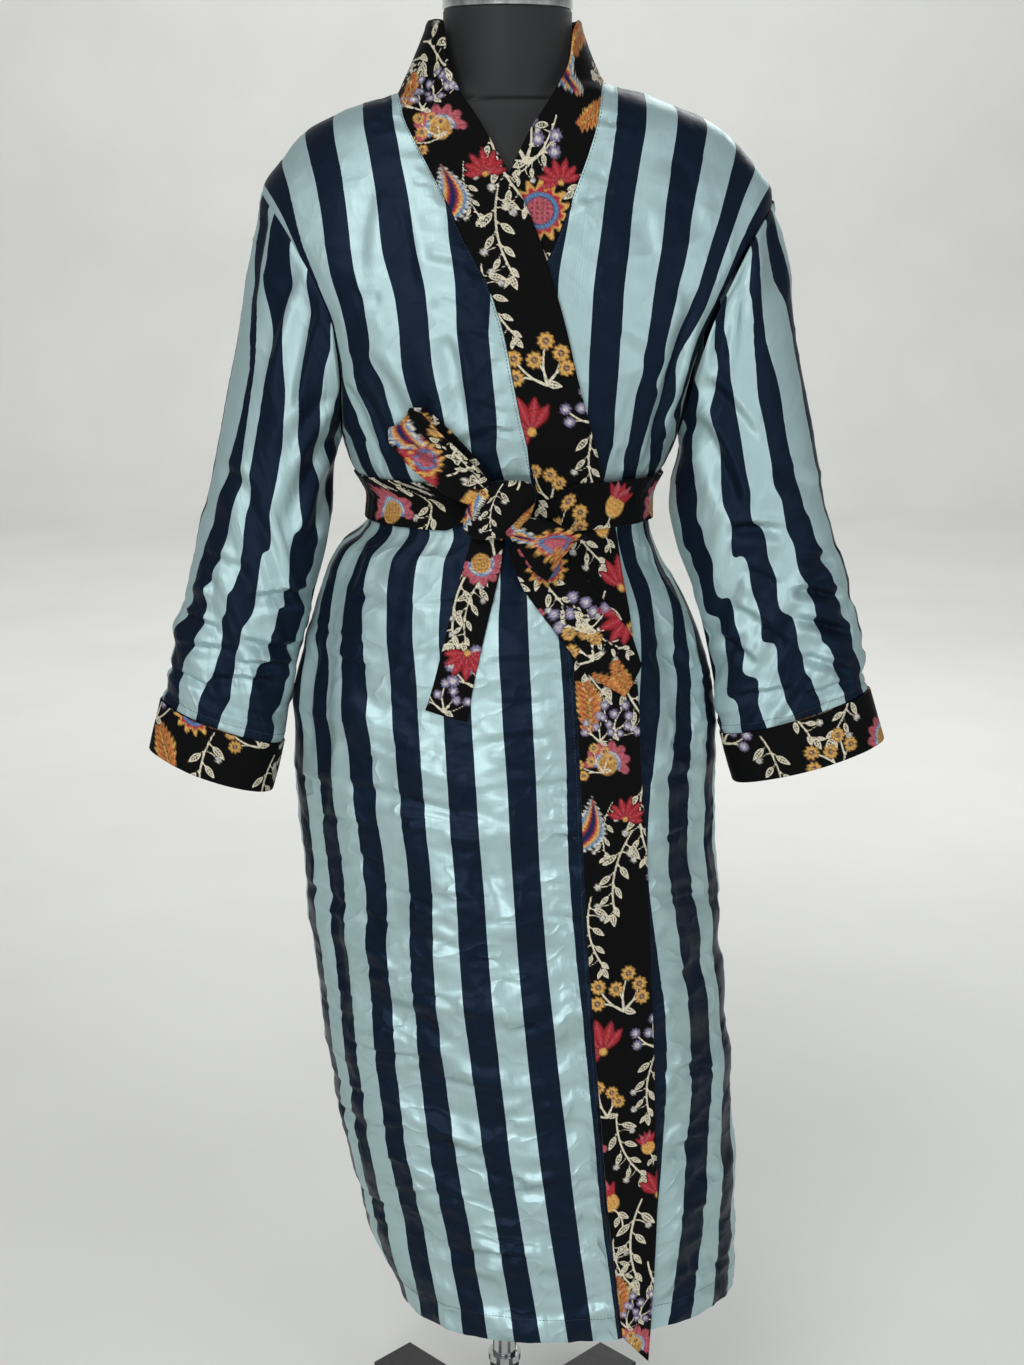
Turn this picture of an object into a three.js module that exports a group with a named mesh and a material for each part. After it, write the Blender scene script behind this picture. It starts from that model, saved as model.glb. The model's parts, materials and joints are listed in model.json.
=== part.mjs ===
// A long striped satin robe with a velvet front band, cuffs and belt, worn by a limbless dress form.
// Millimetres, +Z up, the robe's front faces -Y, the wearer's right is at -X.
// The origin lies on the floor under the pole of the form.
import * as THREE from 'three';

// ---------------------------------------------------------------- driving dimensions
const SATIN = 1.2; // wall of the striped cloth
const VELVET = 2.4; // wall of the band, cuffs and belt
const SEAM = 0.4; // clear width of a seam between two pieces
const UNDERLAP = -5; // how far the left front lies inside the right front
const BAND_PROUD = 0.8; // the band's pile stands this far above the satin
const UNDERARM_Z = 1115;
const SHOULDER_TIP_RIGHT = 1338; // height of the dropped shoulder's tip, wearer's right
const SHOULDER_TIP_LEFT = 1330;
const HEM_Z = 225;
const BELT_TOP = 1083;
const BELT_BOTTOM = 1038;
const TORSO_BASE = 795;
const NECK_TOP = 1495;

// The robe's outer face as level rings: reach to each side, to the front and to the back,
// and how square the ring is (2 is an ellipse).
const ROBE_RINGS = [
  { z: 1487, left: -66, right: 68, front: 60, back: 66, round: 2.0 },
  { z: 1455, left: -80, right: 80, front: 63, back: 72, round: 2.0 },
  { z: 1434, left: -90, right: 91, front: 66, back: 77, round: 2.05 },
  { z: 1423, left: -96, right: 124, front: 68, back: 81, round: 2.1 },
  { z: 1417, left: -122, right: 140, front: 69, back: 83, round: 2.1 },
  { z: 1405, left: -149, right: 174, front: 72, back: 87, round: 2.15 },
  { z: 1392, left: -176, right: 199, front: 76, back: 91, round: 2.2 },
  { z: 1374, left: -195, right: 218, front: 82, back: 95, round: 2.2 },
  { z: 1338, left: -222, right: 245, front: 94, back: 100, round: 2.25 },
  { z: 1300, left: -230, right: 250, front: 106, back: 108, round: 2.3 },
  { z: 1255, left: -225, right: 240, front: 117, back: 110, round: 2.3 },
  { z: 1216, left: -205, right: 222, front: 121, back: 108, round: 2.3 },
  { z: 1180, left: -181, right: 198, front: 120, back: 104, round: 2.3 },
  { z: 1150, left: -165, right: 180, front: 116, back: 100, round: 2.3 },
  { z: 1115, left: -151, right: 163, front: 110, back: 96, round: 2.25 },
  { z: 1090, left: -143, right: 152, front: 104, back: 92, round: 2.2 },
  { z: 1060, left: -128, right: 139, front: 97, back: 88, round: 2.15 },
  { z: 1035, left: -130, right: 139, front: 98, back: 89, round: 2.15 },
  { z: 1008, left: -158, right: 146, front: 107, back: 97, round: 2.2 },
  { z: 954, left: -180, right: 175, front: 118, back: 108, round: 2.25 },
  { z: 900, left: -196, right: 193, front: 124, back: 118, round: 2.3 },
  { z: 850, left: -203, right: 200, front: 129, back: 124, round: 2.3 },
  { z: 777, left: -205, right: 203, front: 132, back: 126, round: 2.3 },
  { z: 665, left: -198, right: 210, front: 134, back: 125, round: 2.25 },
  { z: 557, left: -187, right: 218, front: 135, back: 124, round: 2.2 },
  { z: 440, left: -173, right: 231, front: 135, back: 122, round: 2.15 },
  { z: 346, left: -156, right: 239, front: 134, back: 121, round: 2.1 },
  { z: 150, left: -126, right: 244, front: 134, back: 120, round: 2.1 },
];

// The dress form's own rings, clear of the cloth except where the shoulders carry it.
const FORM_RINGS = [
  { z: 1495, left: -54, right: 62, front: 57, back: 58, round: 2.0 },
  { z: 1440, left: -54, right: 62, front: 56, back: 60, round: 2.0 },
  { z: 1429, left: -60, right: 69, front: 55, back: 62, round: 2.0 },
  { z: 1420, left: -78, right: 100, front: 54, back: 65, round: 2.05 },
  { z: 1414.6, left: -121, right: 139, front: 53, back: 67, round: 2.1 },
  { z: 1402.6, left: -148, right: 173, front: 57, back: 72, round: 2.1 },
  { z: 1389.6, left: -173, right: 194, front: 62, back: 77, round: 2.15 },
  { z: 1371, left: -186, right: 203, front: 70, back: 83, round: 2.2 },
  { z: 1330, left: -189, right: 203, front: 84, back: 91, round: 2.2 },
  { z: 1290, left: -180, right: 188, front: 95, back: 96, round: 2.25 },
  { z: 1250, left: -166, right: 174, front: 105, back: 98, round: 2.3 },
  { z: 1210, left: -152, right: 160, front: 108, back: 95, round: 2.3 },
  { z: 1160, left: -140, right: 146, front: 103, back: 89, round: 2.25 },
  { z: 1115, left: -129, right: 134, front: 95, back: 84, round: 2.2 },
  { z: 1060, left: -115, right: 119, front: 85, back: 78, round: 2.15 },
  { z: 1020, left: -119, right: 122, front: 88, back: 84, round: 2.15 },
  { z: 960, left: -143, right: 145, front: 101, back: 97, round: 2.2 },
  { z: 900, left: -161, right: 163, front: 109, back: 106, round: 2.3 },
  { z: 850, left: -167, right: 168, front: 113, back: 111, round: 2.3 },
  { z: TORSO_BASE, left: -166, right: 166, front: 111, back: 111, round: 2.3 },
];

// Broad folds of the skirt and the blouse above the belt: bearing round the body in degrees
// (0 front, 90 the wearer's left, 180 back), where each starts and ends, half width and depth.
const FOLDS = [
  { bearing: -62, drift: 10, top: 1030, bottom: 560, spread: 13, depth: -7 },
  { bearing: -36, drift: 12, top: 1020, bottom: 240, spread: 11, depth: -4 },
  { bearing: 58, drift: 6, top: 1030, bottom: 420, spread: 12, depth: -7 },
  { bearing: 84, drift: -4, top: 1010, bottom: 200, spread: 12, depth: 5 },
  { bearing: 118, drift: 5, top: 1030, bottom: 240, spread: 14, depth: -9 },
  { bearing: 152, drift: 8, top: 1035, bottom: 300, spread: 13, depth: -8 },
  { bearing: 186, drift: -5, top: 1035, bottom: 200, spread: 15, depth: -9 },
  { bearing: 222, drift: -8, top: 1030, bottom: 330, spread: 13, depth: -8 },
  { bearing: 255, drift: 4, top: 1020, bottom: 200, spread: 13, depth: -6 },
  { bearing: 162, drift: 4, top: 1290, bottom: 1085, spread: 16, depth: 5 },
  { bearing: 205, drift: -4, top: 1290, bottom: 1085, spread: 16, depth: 5 },
];

// The front band of the wearer's right side, which is also the right front's edge: the sewn edge
// lies on the panel, the free edge on the far side of the band's width.
const BAND_RIGHT = [
  { seamX: -96, seamZ: 1423, freeX: -66, freeZ: 1487 },
  { seamX: -92, seamZ: 1419, freeX: -53, freeZ: 1484 },
  { seamX: -88, seamZ: 1403, freeX: -49, freeZ: 1453 },
  { seamX: -79, seamZ: 1384, freeX: -38, freeZ: 1424 },
  { seamX: -68, seamZ: 1364, freeX: -24, freeZ: 1404 },
  { seamX: -50, seamZ: 1331, freeX: 2, freeZ: 1360 },
  { seamX: -32, seamZ: 1294, freeX: 25, freeZ: 1316 },
  { seamX: -12, seamZ: 1256, freeX: 42, freeZ: 1268 },
  { seamX: 2, seamZ: 1212, freeX: 56, freeZ: 1220 },
  { seamX: 9, seamZ: 1176, freeX: 65, freeZ: 1182 },
  { seamX: 15, seamZ: 1145, freeX: 74, freeZ: 1149 },
  { seamX: 19, seamZ: 1127, freeX: 79, freeZ: 1130 },
  { seamX: 22, seamZ: UNDERARM_Z, freeX: 83, freeZ: 1117 },
  { seamX: 28, seamZ: 1085, freeX: 91, freeZ: 1086 },
  { seamX: 35, seamZ: 1060, freeX: 98, freeZ: 1060 },
  { seamX: 43, seamZ: 1035, freeX: 104, freeZ: 1035 },
  { seamX: 53, seamZ: 996, freeX: 111, freeZ: 996 },
  { seamX: 60, seamZ: 950, freeX: 119, freeZ: 950 },
  { seamX: 66, seamZ: 890, freeX: 125, freeZ: 890 },
  { seamX: 71, seamZ: 815, freeX: 129, freeZ: 815 },
  { seamX: 75, seamZ: 730, freeX: 136, freeZ: 730 },
  { seamX: 80, seamZ: 640, freeX: 141, freeZ: 640 },
  { seamX: 87, seamZ: 550, freeX: 145, freeZ: 550 },
  { seamX: 95, seamZ: 455, freeX: 149, freeZ: 455 },
  { seamX: 103, seamZ: 360, freeX: 152, freeZ: 360 },
  { seamX: 112, seamZ: 285, freeX: 150, freeZ: 282 },
  { seamX: 119, seamZ: HEM_Z, freeX: 146, freeZ: 193 },
];

// The same for the wearer's left side, which crosses under the right front below the neck.
const BAND_LEFT = [
  { seamX: 91, seamZ: 1434, freeX: 68, freeZ: 1487 },
  { seamX: 88, seamZ: 1428, freeX: 63, freeZ: 1476 },
  { seamX: 85, seamZ: 1407, freeX: 59, freeZ: 1450 },
  { seamX: 81, seamZ: 1389, freeX: 43, freeZ: 1420 },
  { seamX: 76, seamZ: 1373, freeX: 24, freeZ: 1391 },
  { seamX: 63, seamZ: 1339, freeX: 4, freeZ: 1352 },
  { seamX: 48, seamZ: 1300, freeX: -12, freeZ: 1316 },
  { seamX: 28, seamZ: 1256, freeX: -28, freeZ: 1268 },
  { seamX: 10, seamZ: 1212, freeX: -46, freeZ: 1220 },
  { seamX: -1, seamZ: 1176, freeX: -58, freeZ: 1182 },
  { seamX: -10, seamZ: 1145, freeX: -69, freeZ: 1149 },
  { seamX: -15, seamZ: 1127, freeX: -75, freeZ: 1130 },
  { seamX: -19, seamZ: UNDERARM_Z, freeX: -79, freeZ: 1117 },
  { seamX: -26, seamZ: 1085, freeX: -86, freeZ: 1086 },
  { seamX: -32, seamZ: 1060, freeX: -88, freeZ: 1060 },
  { seamX: -38, seamZ: 1035, freeX: -94, freeZ: 1035 },
  { seamX: -46, seamZ: 996, freeX: -104, freeZ: 996 },
  { seamX: -54, seamZ: 950, freeX: -112, freeZ: 950 },
  { seamX: -60, seamZ: 890, freeX: -119, freeZ: 890 },
  { seamX: -64, seamZ: 815, freeX: -122, freeZ: 815 },
  { seamX: -66, seamZ: 730, freeX: -123, freeZ: 730 },
  { seamX: -66, seamZ: 640, freeX: -122, freeZ: 640 },
  { seamX: -65, seamZ: 550, freeX: -119, freeZ: 550 },
  { seamX: -62, seamZ: 455, freeX: -114, freeZ: 455 },
  { seamX: -58, seamZ: 360, freeX: -107, freeZ: 360 },
  { seamX: -54, seamZ: 285, freeX: -101, freeZ: 285 },
  { seamX: -50, seamZ: HEM_Z, freeX: -96, freeZ: HEM_Z },
];

// Where each dropped armhole seam lies, seen from the front; the back is the same.
const ARMHOLE_RIGHT = [
  { z: 1338, x: -222 }, { z: 1310, x: -199 }, { z: 1282, x: -181 }, { z: 1255, x: -165 },
  { z: 1218, x: -151 }, { z: 1173, x: -147 }, { z: 1140, x: -149 }, { z: UNDERARM_Z, x: -151 },
];
const ARMHOLE_LEFT = [
  { z: 1330, x: 250 }, { z: 1296, x: 226 }, { z: 1261, x: 207 }, { z: 1226, x: 190 },
  { z: 1190, x: 178 }, { z: 1150, x: 169 }, { z: UNDERARM_Z, x: 163 },
];

// Sleeves, a row for each section from the armhole to the cuff seam: its inner and outer point
// in the front view, half its depth, and how far forward its middle lies.
const SLEEVE_RIGHT = [
  { inX: -151, inZ: 1115, outX: -222, outZ: 1338, deep: 84, ahead: 0 },
  { inX: -156, inZ: 1108, outX: -232, outZ: 1290, deep: 79, ahead: 2 },
  { inX: -158, inZ: 1100, outX: -241, outZ: 1240, deep: 73, ahead: 4 },
  { inX: -160, inZ: 1090, outX: -251, outZ: 1190, deep: 67, ahead: 7 },
  { inX: -161, inZ: 1075, outX: -261, outZ: 1140, deep: 62, ahead: 10 },
  { inX: -163, inZ: 1050, outX: -271, outZ: 1092, deep: 58, ahead: 14 },
  { inX: -169, inZ: 1012, outX: -283, outZ: 1044, deep: 55, ahead: 18 },
  { inX: -181, inZ: 968, outX: -296, outZ: 997, deep: 51, ahead: 23 },
  { inX: -194, inZ: 920, outX: -308, outZ: 952, deep: 47, ahead: 28 },
  { inX: -205, inZ: 871, outX: -318, outZ: 909, deep: 43, ahead: 32 },
  { inX: -213, inZ: 823, outX: -329, outZ: 867, deep: 40, ahead: 36 },
];
const SLEEVE_LEFT = [
  { inX: 163, inZ: 1115, outX: 250, outZ: 1330, deep: 84, ahead: 0 },
  { inX: 168, inZ: 1108, outX: 261, outZ: 1285, deep: 79, ahead: 2 },
  { inX: 168, inZ: 1100, outX: 270, outZ: 1235, deep: 73, ahead: 4 },
  { inX: 165, inZ: 1090, outX: 279, outZ: 1185, deep: 67, ahead: 7 },
  { inX: 160, inZ: 1075, outX: 289, outZ: 1136, deep: 62, ahead: 10 },
  { inX: 157, inZ: 1050, outX: 299, outZ: 1087, deep: 58, ahead: 14 },
  { inX: 165, inZ: 1012, outX: 310, outZ: 1040, deep: 55, ahead: 18 },
  { inX: 182, inZ: 968, outX: 323, outZ: 996, deep: 51, ahead: 23 },
  { inX: 194, inZ: 922, outX: 335, outZ: 956, deep: 47, ahead: 28 },
  { inX: 203, inZ: 877, outX: 344, outZ: 917, deep: 43, ahead: 32 },
  { inX: 209, inZ: 832, outX: 351, outZ: 877, deep: 40, ahead: 36 },
];
// Each cuff goes on from its sleeve's last section, a little wider.
const CUFF_RIGHT = [
  { inX: -212, inZ: 822.5, outX: -330.5, outZ: 866.5, deep: 41.5, ahead: 36 },
  { inX: -218, inZ: 799, outX: -336.5, outZ: 843, deep: 42.5, ahead: 37 },
  { inX: -225, inZ: 774, outX: -343, outZ: 818, deep: 43.5, ahead: 38 },
];
const CUFF_LEFT = [
  { inX: 208.5, inZ: 831.5, outX: 352.5, outZ: 876.5, deep: 41.5, ahead: 36 },
  { inX: 215, inZ: 808, outX: 360, outZ: 852, deep: 42.5, ahead: 37 },
  { inX: 222, inZ: 784, outX: 368, outZ: 827, deep: 43.5, ahead: 38 },
];

// The belt's free stretches: the middle of the strip, half its width as a vector in the front
// view, and how far the strip's back lies in front of the robe.
const LONG_LOOP = [
  { x: -19, z: 1082.5, halfX: 9, halfZ: 10, off: 20 },
  { x: -40, z: 1102, halfX: 12, halfZ: 13, off: 26 },
  { x: -60, z: 1120, halfX: 13, halfZ: 14, off: 25 },
  { x: -78, z: 1137, halfX: 13, halfZ: 14, off: 20 },
  { x: -85, z: 1143, halfX: 13, halfZ: 14, off: 13 },
  { x: -78, z: 1137, halfX: 13, halfZ: 14, off: 7 },
  { x: -60, z: 1120, halfX: 13, halfZ: 14, off: 6.5 },
  { x: -40, z: 1102, halfX: 12, halfZ: 13, off: 9 },
  { x: -19, z: 1082.5, halfX: 9, halfZ: 10, off: 14 },
];
const SHORT_LOOP = [
  { x: 14, z: 1044.5, halfX: 9, halfZ: 9, off: 21 },
  { x: 30, z: 1031, halfX: 15, halfZ: 16, off: 29 },
  { x: 45, z: 1020, halfX: 17, halfZ: 19, off: 26 },
  { x: 52, z: 1015, halfX: 17, halfZ: 20, off: 19 },
  { x: 45, z: 1020, halfX: 17, halfZ: 19, off: 13 },
  { x: 30, z: 1031, halfX: 15, halfZ: 16, off: 12 },
  { x: 14, z: 1044.5, halfX: 9, halfZ: 9, off: 15 },
];
const RIGHT_TAIL = [
  { x: -13, z: 1034, halfX: 13, halfZ: 3, off: 13 },
  { x: -20, z: 1003, halfX: 18, halfZ: 5, off: 8 },
  { x: -31, z: 960, halfX: 19, halfZ: 6, off: 4.6 },
  { x: -42, z: 915, halfX: 19, halfZ: 5, off: 4.6 },
  { x: -52, z: 872, halfX: 19, halfZ: -5, off: 4.6 },
];
const LEFT_TAIL = [
  { x: 14, z: 1030, halfX: 10, halfZ: 10, off: 9 },
  { x: 38, z: 1000, halfX: 17, halfZ: 17, off: 5 },
  { x: 64, z: 968, halfX: 18, halfZ: 18, off: 4.6 },
  { x: 92, z: 932, halfX: 19, halfZ: 18, off: 4.6 },
  { x: 119, z: 900, halfX: 8, halfZ: 14, off: 4.6 },
];
const KNOT = { x: -4, z: 1061, wide: 43, tall: 46, deep: 22 };

// Stand
const POLE_RADIUS = 12.7;
const POLE_END = 60; // lower end of the pole inside its socket
const SOCKET_BORE = 13.1;
const SOCKET_RADIUS = 15.5;
const SOCKET_TOP = 118;
const RIM = { radius: 17.5, height: 8 };
const FLANGE = { radius: 45, height: 6 };
const HUB = { side: 60, bottom: 10, top: 38 };
const BASE_PLATE = { bottom: 5, gap: 0.3 };
const LEG = { wide: 55, bottom: 7, top: 35, end: 185 };
const FOOT = { radius: 17, reach: 160 };
const BOLT = { radius: 5, height: 3 };
const CAP = { radius: 58.5, height: 35 };
const TOUCH = 0.3; // gap between hard pieces that meet

// ---------------------------------------------------------------- materials
const paint = (hex, roughness, metalness) =>
  new THREE.MeshStandardMaterial({ color: hex, roughness, metalness });
const SATIN_FINISH = [0x8fb0b8, 0.35, 0];
const VELVET_FINISH = [0x0b0b0d, 0.95, 0];
const COVER_FINISH = [0x2c2e31, 0.85, 0];
const STEEL_FINISH = [0xc6c8ca, 0.25, 1];
const BLACK_FINISH = [0x17181a, 0.5, 0.3];
const RUBBER_FINISH = [0x101010, 0.9, 0];

const model = new THREE.Group();
function add(name, geometry, finish) {
  const mesh = new THREE.Mesh(geometry, paint(...finish));
  mesh.name = name;
  model.add(mesh);
  return mesh;
}

// ---------------------------------------------------------------- tables and rings
// A monotone cubic through one column of a table whose rows go up or down in `key`.
function columnCurve(rows, key, column) {
  const sorted = [...rows].sort((a, b) => a[key] - b[key]);
  const at = sorted.map((row) => row[key]);
  const value = sorted.map((row) => row[column]);
  const last = at.length - 1;
  const slope = at.slice(1).map((t, i) => (value[i + 1] - value[i]) / (t - at[i]));
  const tangent = at.map((_, i) => {
    if (i === 0) return slope[0];
    if (i === last) return slope[last - 1];
    const product = slope[i - 1] * slope[i];
    return product <= 0 ? 0 : (2 * product) / (slope[i - 1] + slope[i]);
  });
  return (t) => {
    if (t <= at[0]) return value[0];
    if (t >= at[last]) return value[last];
    let i = 0;
    while (t > at[i + 1]) i += 1;
    const step = at[i + 1] - at[i];
    const u = (t - at[i]) / step;
    const rise = value[i + 1] - value[i];
    const leaving = step * tangent[i] * (u - 2 * u * u + u * u * u);
    const arriving = step * tangent[i + 1] * (u * u * u - u * u);
    return value[i] + rise * (3 * u * u - 2 * u * u * u) + leaving + arriving;
  };
}

function ringTable(rows) {
  const curves = ['left', 'right', 'front', 'back', 'round'].map((name) => columnCurve(rows, 'z', name));
  return (z) => {
    const [left, right, front, back, round] = curves.map((curve) => curve(z));
    return { middle: (left + right) / 2, reach: (right - left) / 2, front, back, round, left, right };
  };
}
const robeRing = ringTable(ROBE_RINGS);
const formRing = ringTable(FORM_RINGS);
const clamp = (value, low, high) => Math.min(high, Math.max(low, value));
const mix = (a, b, t) => a + (b - a) * t;
const smooth = (t) => clamp(t, 0, 1) ** 2 * (3 - 2 * clamp(t, 0, 1));
const DEGREE = Math.PI / 180;
const QUARTER = Math.PI / 2; // a quarter turn

// A point of a ring by its bearing round the body: 0 front, a quarter turn the wearer's left.
function ringPoint(ringAt, bearing, z) {
  const ring = ringAt(z);
  const power = 2 / ring.round;
  const across = Math.sin(bearing);
  const ahead = Math.cos(bearing);
  const x = ring.middle + Math.sign(across) * Math.abs(across) ** power * ring.reach;
  const deep = ahead > 0 ? ring.front : ring.back;
  return new THREE.Vector3(x, -Math.sign(ahead) * Math.abs(ahead) ** power * deep, z);
}

// The bearing at which a ring has a given x, on its front half.
function bearingAt(ringAt, x, z) {
  const ring = ringAt(z);
  const share = clamp((x - ring.middle) / ring.reach, -1, 1);
  return Math.sign(share) * Math.asin(Math.abs(share) ** (ring.round / 2));
}

// The way out of the ring surface at a bearing.
function ringNormal(ringAt, bearing, z) {
  const small = 0.02;
  const rise = 1.5;
  const along = ringPoint(ringAt, bearing + small, z).sub(ringPoint(ringAt, bearing - small, z));
  const up = ringPoint(ringAt, bearing, z + rise).sub(ringPoint(ringAt, bearing, z - rise));
  return along.cross(up).normalize();
}

function foldDepth(bearing, z) {
  const turn = bearing / DEGREE;
  return FOLDS.reduce((sum, fold) => {
    const along = (fold.top - z) / (fold.top - fold.bottom);
    const here = fold.bearing + fold.drift * clamp(along, 0, 1);
    const away = ((((turn - here + 180) % 360) + 360) % 360) - 180;
    const fade = smooth(along * 5 + 0.2) * smooth((1 - along) * 2.2 + 0.1);
    return sum + fold.depth * fade * Math.exp(-((away / fold.spread) ** 2));
  }, 0);
}

// A point of the robe, lifted off its outer face, with its folds.
function robePoint(bearing, z, lift = 0) {
  const normal = ringNormal(robeRing, bearing, z);
  const point = ringPoint(robeRing, bearing, z);
  const vertex = point.addScaledVector(normal, lift + foldDepth(bearing, z));
  return { point: vertex, normal };
}

// ---------------------------------------------------------------- cloth walls
function closedGeometry(positions, triangles) {
  const geometry = new THREE.BufferGeometry();
  geometry.setAttribute('position', new THREE.Float32BufferAttribute(positions, 3));
  geometry.setIndex(triangles);
  geometry.computeVertexNormals();
  return geometry;
}

// A wall from a grid of { point, normal }: the points are its outer face. `around` joins the
// last column to the first, `flip` turns the faces for a grid that runs the other way.
function wall(grid, thickness, { around = false, flip = false } = {}) {
  const rows = grid.length;
  const columns = grid[0].length;
  const positions = [];
  for (const depth of [0, -thickness]) {
    for (const row of grid) {
      for (const { point, normal } of row) {
        positions.push(...point.clone().addScaledVector(normal, depth).toArray());
      }
    }
  }
  const triangles = [];
  const quad = (a, b, c, d) => triangles.push(...(flip ? [a, c, b, a, d, c] : [a, b, c, a, c, d]));
  const outer = (r, c) => r * columns + (c % columns);
  const inner = (r, c) => outer(r, c) + rows * columns;
  const spans = around ? columns : columns - 1;
  const last = columns - 1;
  for (let r = 0; r < rows - 1; r += 1) {
    for (let c = 0; c < spans; c += 1) {
      quad(outer(r, c), outer(r + 1, c), outer(r + 1, c + 1), outer(r, c + 1));
      quad(inner(r, c), inner(r, c + 1), inner(r + 1, c + 1), inner(r + 1, c));
    }
    if (!around) {
      quad(outer(r, 0), inner(r, 0), inner(r + 1, 0), outer(r + 1, 0));
      quad(outer(r, last), outer(r + 1, last), inner(r + 1, last), inner(r, last));
    }
  }
  for (let c = 0; c < spans; c += 1) {
    quad(outer(0, c), outer(0, c + 1), inner(0, c + 1), inner(0, c));
    quad(outer(rows - 1, c), inner(rows - 1, c), inner(rows - 1, c + 1), outer(rows - 1, c + 1));
  }
  return closedGeometry(positions, triangles);
}

// Normals of a free grid from its own neighbours, the same way round as wall() faces.
function withNormals(points, { around = false, outwardFrom = null } = {}) {
  const rows = points.length;
  const columns = points[0].length;
  const pick = (r, c) => {
    const column = around ? (c + columns) % columns : clamp(c, 0, columns - 1);
    return points[clamp(r, 0, rows - 1)][column];
  };
  return points.map((row, r) => row.map((point, c) => {
    const down = pick(r + 1, c).clone().sub(pick(r - 1, c));
    const along = pick(r, c + 1).clone().sub(pick(r, c - 1));
    const normal = down.cross(along).normalize();
    if (outwardFrom && normal.dot(point.clone().sub(outwardFrom(r))) < 0) normal.negate();
    return { point, normal };
  }));
}

// ---------------------------------------------------------------- body panels
const armholeRightX = columnCurve(ARMHOLE_RIGHT, 'z', 'x');
const armholeLeftX = columnCurve(ARMHOLE_LEFT, 'z', 'x');

const RIDGE_HEIGHTS = [1320, 1440]; // the shoulders' ridges lie between these
// The height of the shoulder ridge at an x: where the robe's ring is just that wide.
function ridgeHeight(x, side) {
  let [low, high] = RIDGE_HEIGHTS;
  while (high - low > 0.01) {
    const middle = (low + high) / 2;
    if (Math.abs(robeRing(middle)[side]) > Math.abs(x)) low = middle;
    else high = middle;
  }
  return low;
}

const LEVELS = BAND_RIGHT.map((row) => row.seamZ);
const UNDERARM_ROW = LEVELS.indexOf(UNDERARM_Z);
// Share of the way from the shoulder to the underarm for each row, the same on every panel.
const DROP = LEVELS.map((z) => clamp((LEVELS[0] - z) / (LEVELS[0] - UNDERARM_Z), 0, 1));

const SIDES = {
  right: { name: 'left', sign: -1, band: BAND_RIGHT, tip: SHOULDER_TIP_RIGHT, armholeX: armholeRightX },
  left: { name: 'right', sign: 1, band: BAND_LEFT, tip: SHOULDER_TIP_LEFT, armholeX: armholeLeftX },
};
function armholePoint(side, row) {
  const z = mix(side.tip, UNDERARM_Z, DROP[row]);
  if (row === 0 || row === UNDERARM_ROW) return { bearing: side.sign * QUARTER, z };
  return { bearing: bearingAt(robeRing, side.armholeX(z), z), z };
}

// How far inside the outer layer the left front lies: all the way in front below the neck,
// nothing at the side and on the shoulder.
const SHOULDER_FADE = { z: 1400, over: 45 };
const SIDE_FADE = { from: 50, over: 32 }; // degrees
function underlapLift(bearing, z) {
  const aside = smooth((bearing / DEGREE - SIDE_FADE.from) / SIDE_FADE.over);
  return UNDERLAP * (1 - aside) * smooth((SHOULDER_FADE.z - z) / SHOULDER_FADE.over);
}

const SEAM_RADIUS = 150; // usual distance of a seam from the middle of the body
const SEAM_TURN = SEAM / 2 / SEAM_RADIUS; // half a seam's clear width as a bearing

// One front: rows run from the band's seam to the armhole or the side seam.
function frontPanel(side, liftAt, columns) {
  const grid = [];
  const under = side.band[UNDERARM_ROW];
  const underBearings = [];
  for (let c = 0; c <= columns; c += 1) {
    const start = bearingAt(robeRing, under.seamX, UNDERARM_Z);
    underBearings.push(mix(start, side.sign * QUARTER, c / columns));
  }
  const topX = [side.band[0].seamX + side.sign * SEAM, robeRing(side.tip)[side.name]];
  side.band.forEach((row, r) => {
    const line = [];
    const inward = -side.sign;
    for (let c = 0; c <= columns; c += 1) {
      const share = c / columns;
      let bearing;
      let z;
      if (r >= UNDERARM_ROW) {
        z = row.seamZ;
        bearing = mix(bearingAt(robeRing, row.seamX, z), side.sign * QUARTER, share);
      } else if (r === 0) {
        z = ridgeHeight(mix(topX[0], topX[1], share), side.name);
        bearing = side.sign * QUARTER;
      } else {
        const edge = armholePoint(side, r);
        const x0 = mix(topX[0], topX[1], share);
        const bow = ridgeHeight(x0, side.name) - mix(side.band[0].seamZ, side.tip, share);
        const underX = ringPoint(robeRing, underBearings[c], UNDERARM_Z).x;
        const straight = mix(x0, underX, DROP[r]);
        const seamOff = row.seamX - mix(topX[0], under.seamX, DROP[r]);
        const edgeX = ringPoint(robeRing, edge.bearing, edge.z).x;
        const edgeOff = edgeX - mix(topX[1], robeRing(UNDERARM_Z)[side.name], DROP[r]);
        z = mix(row.seamZ, edge.z, share) + bow * (1 - DROP[r]) ** 3;
        bearing = bearingAt(robeRing, straight + mix(seamOff, edgeOff, share), z);
      }
      if (r === 0) bearing += inward * SEAM_TURN;
      if (c === 0 && r > 0) bearing += side.sign * SEAM_TURN;
      if (c === columns && r > 0) bearing += inward * SEAM_TURN;
      line.push(robePoint(bearing, z, liftAt(bearing, z)));
    }
    grid.push(line);
  });
  return wall(grid, SATIN, { flip: side.sign < 0 });
}

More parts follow.
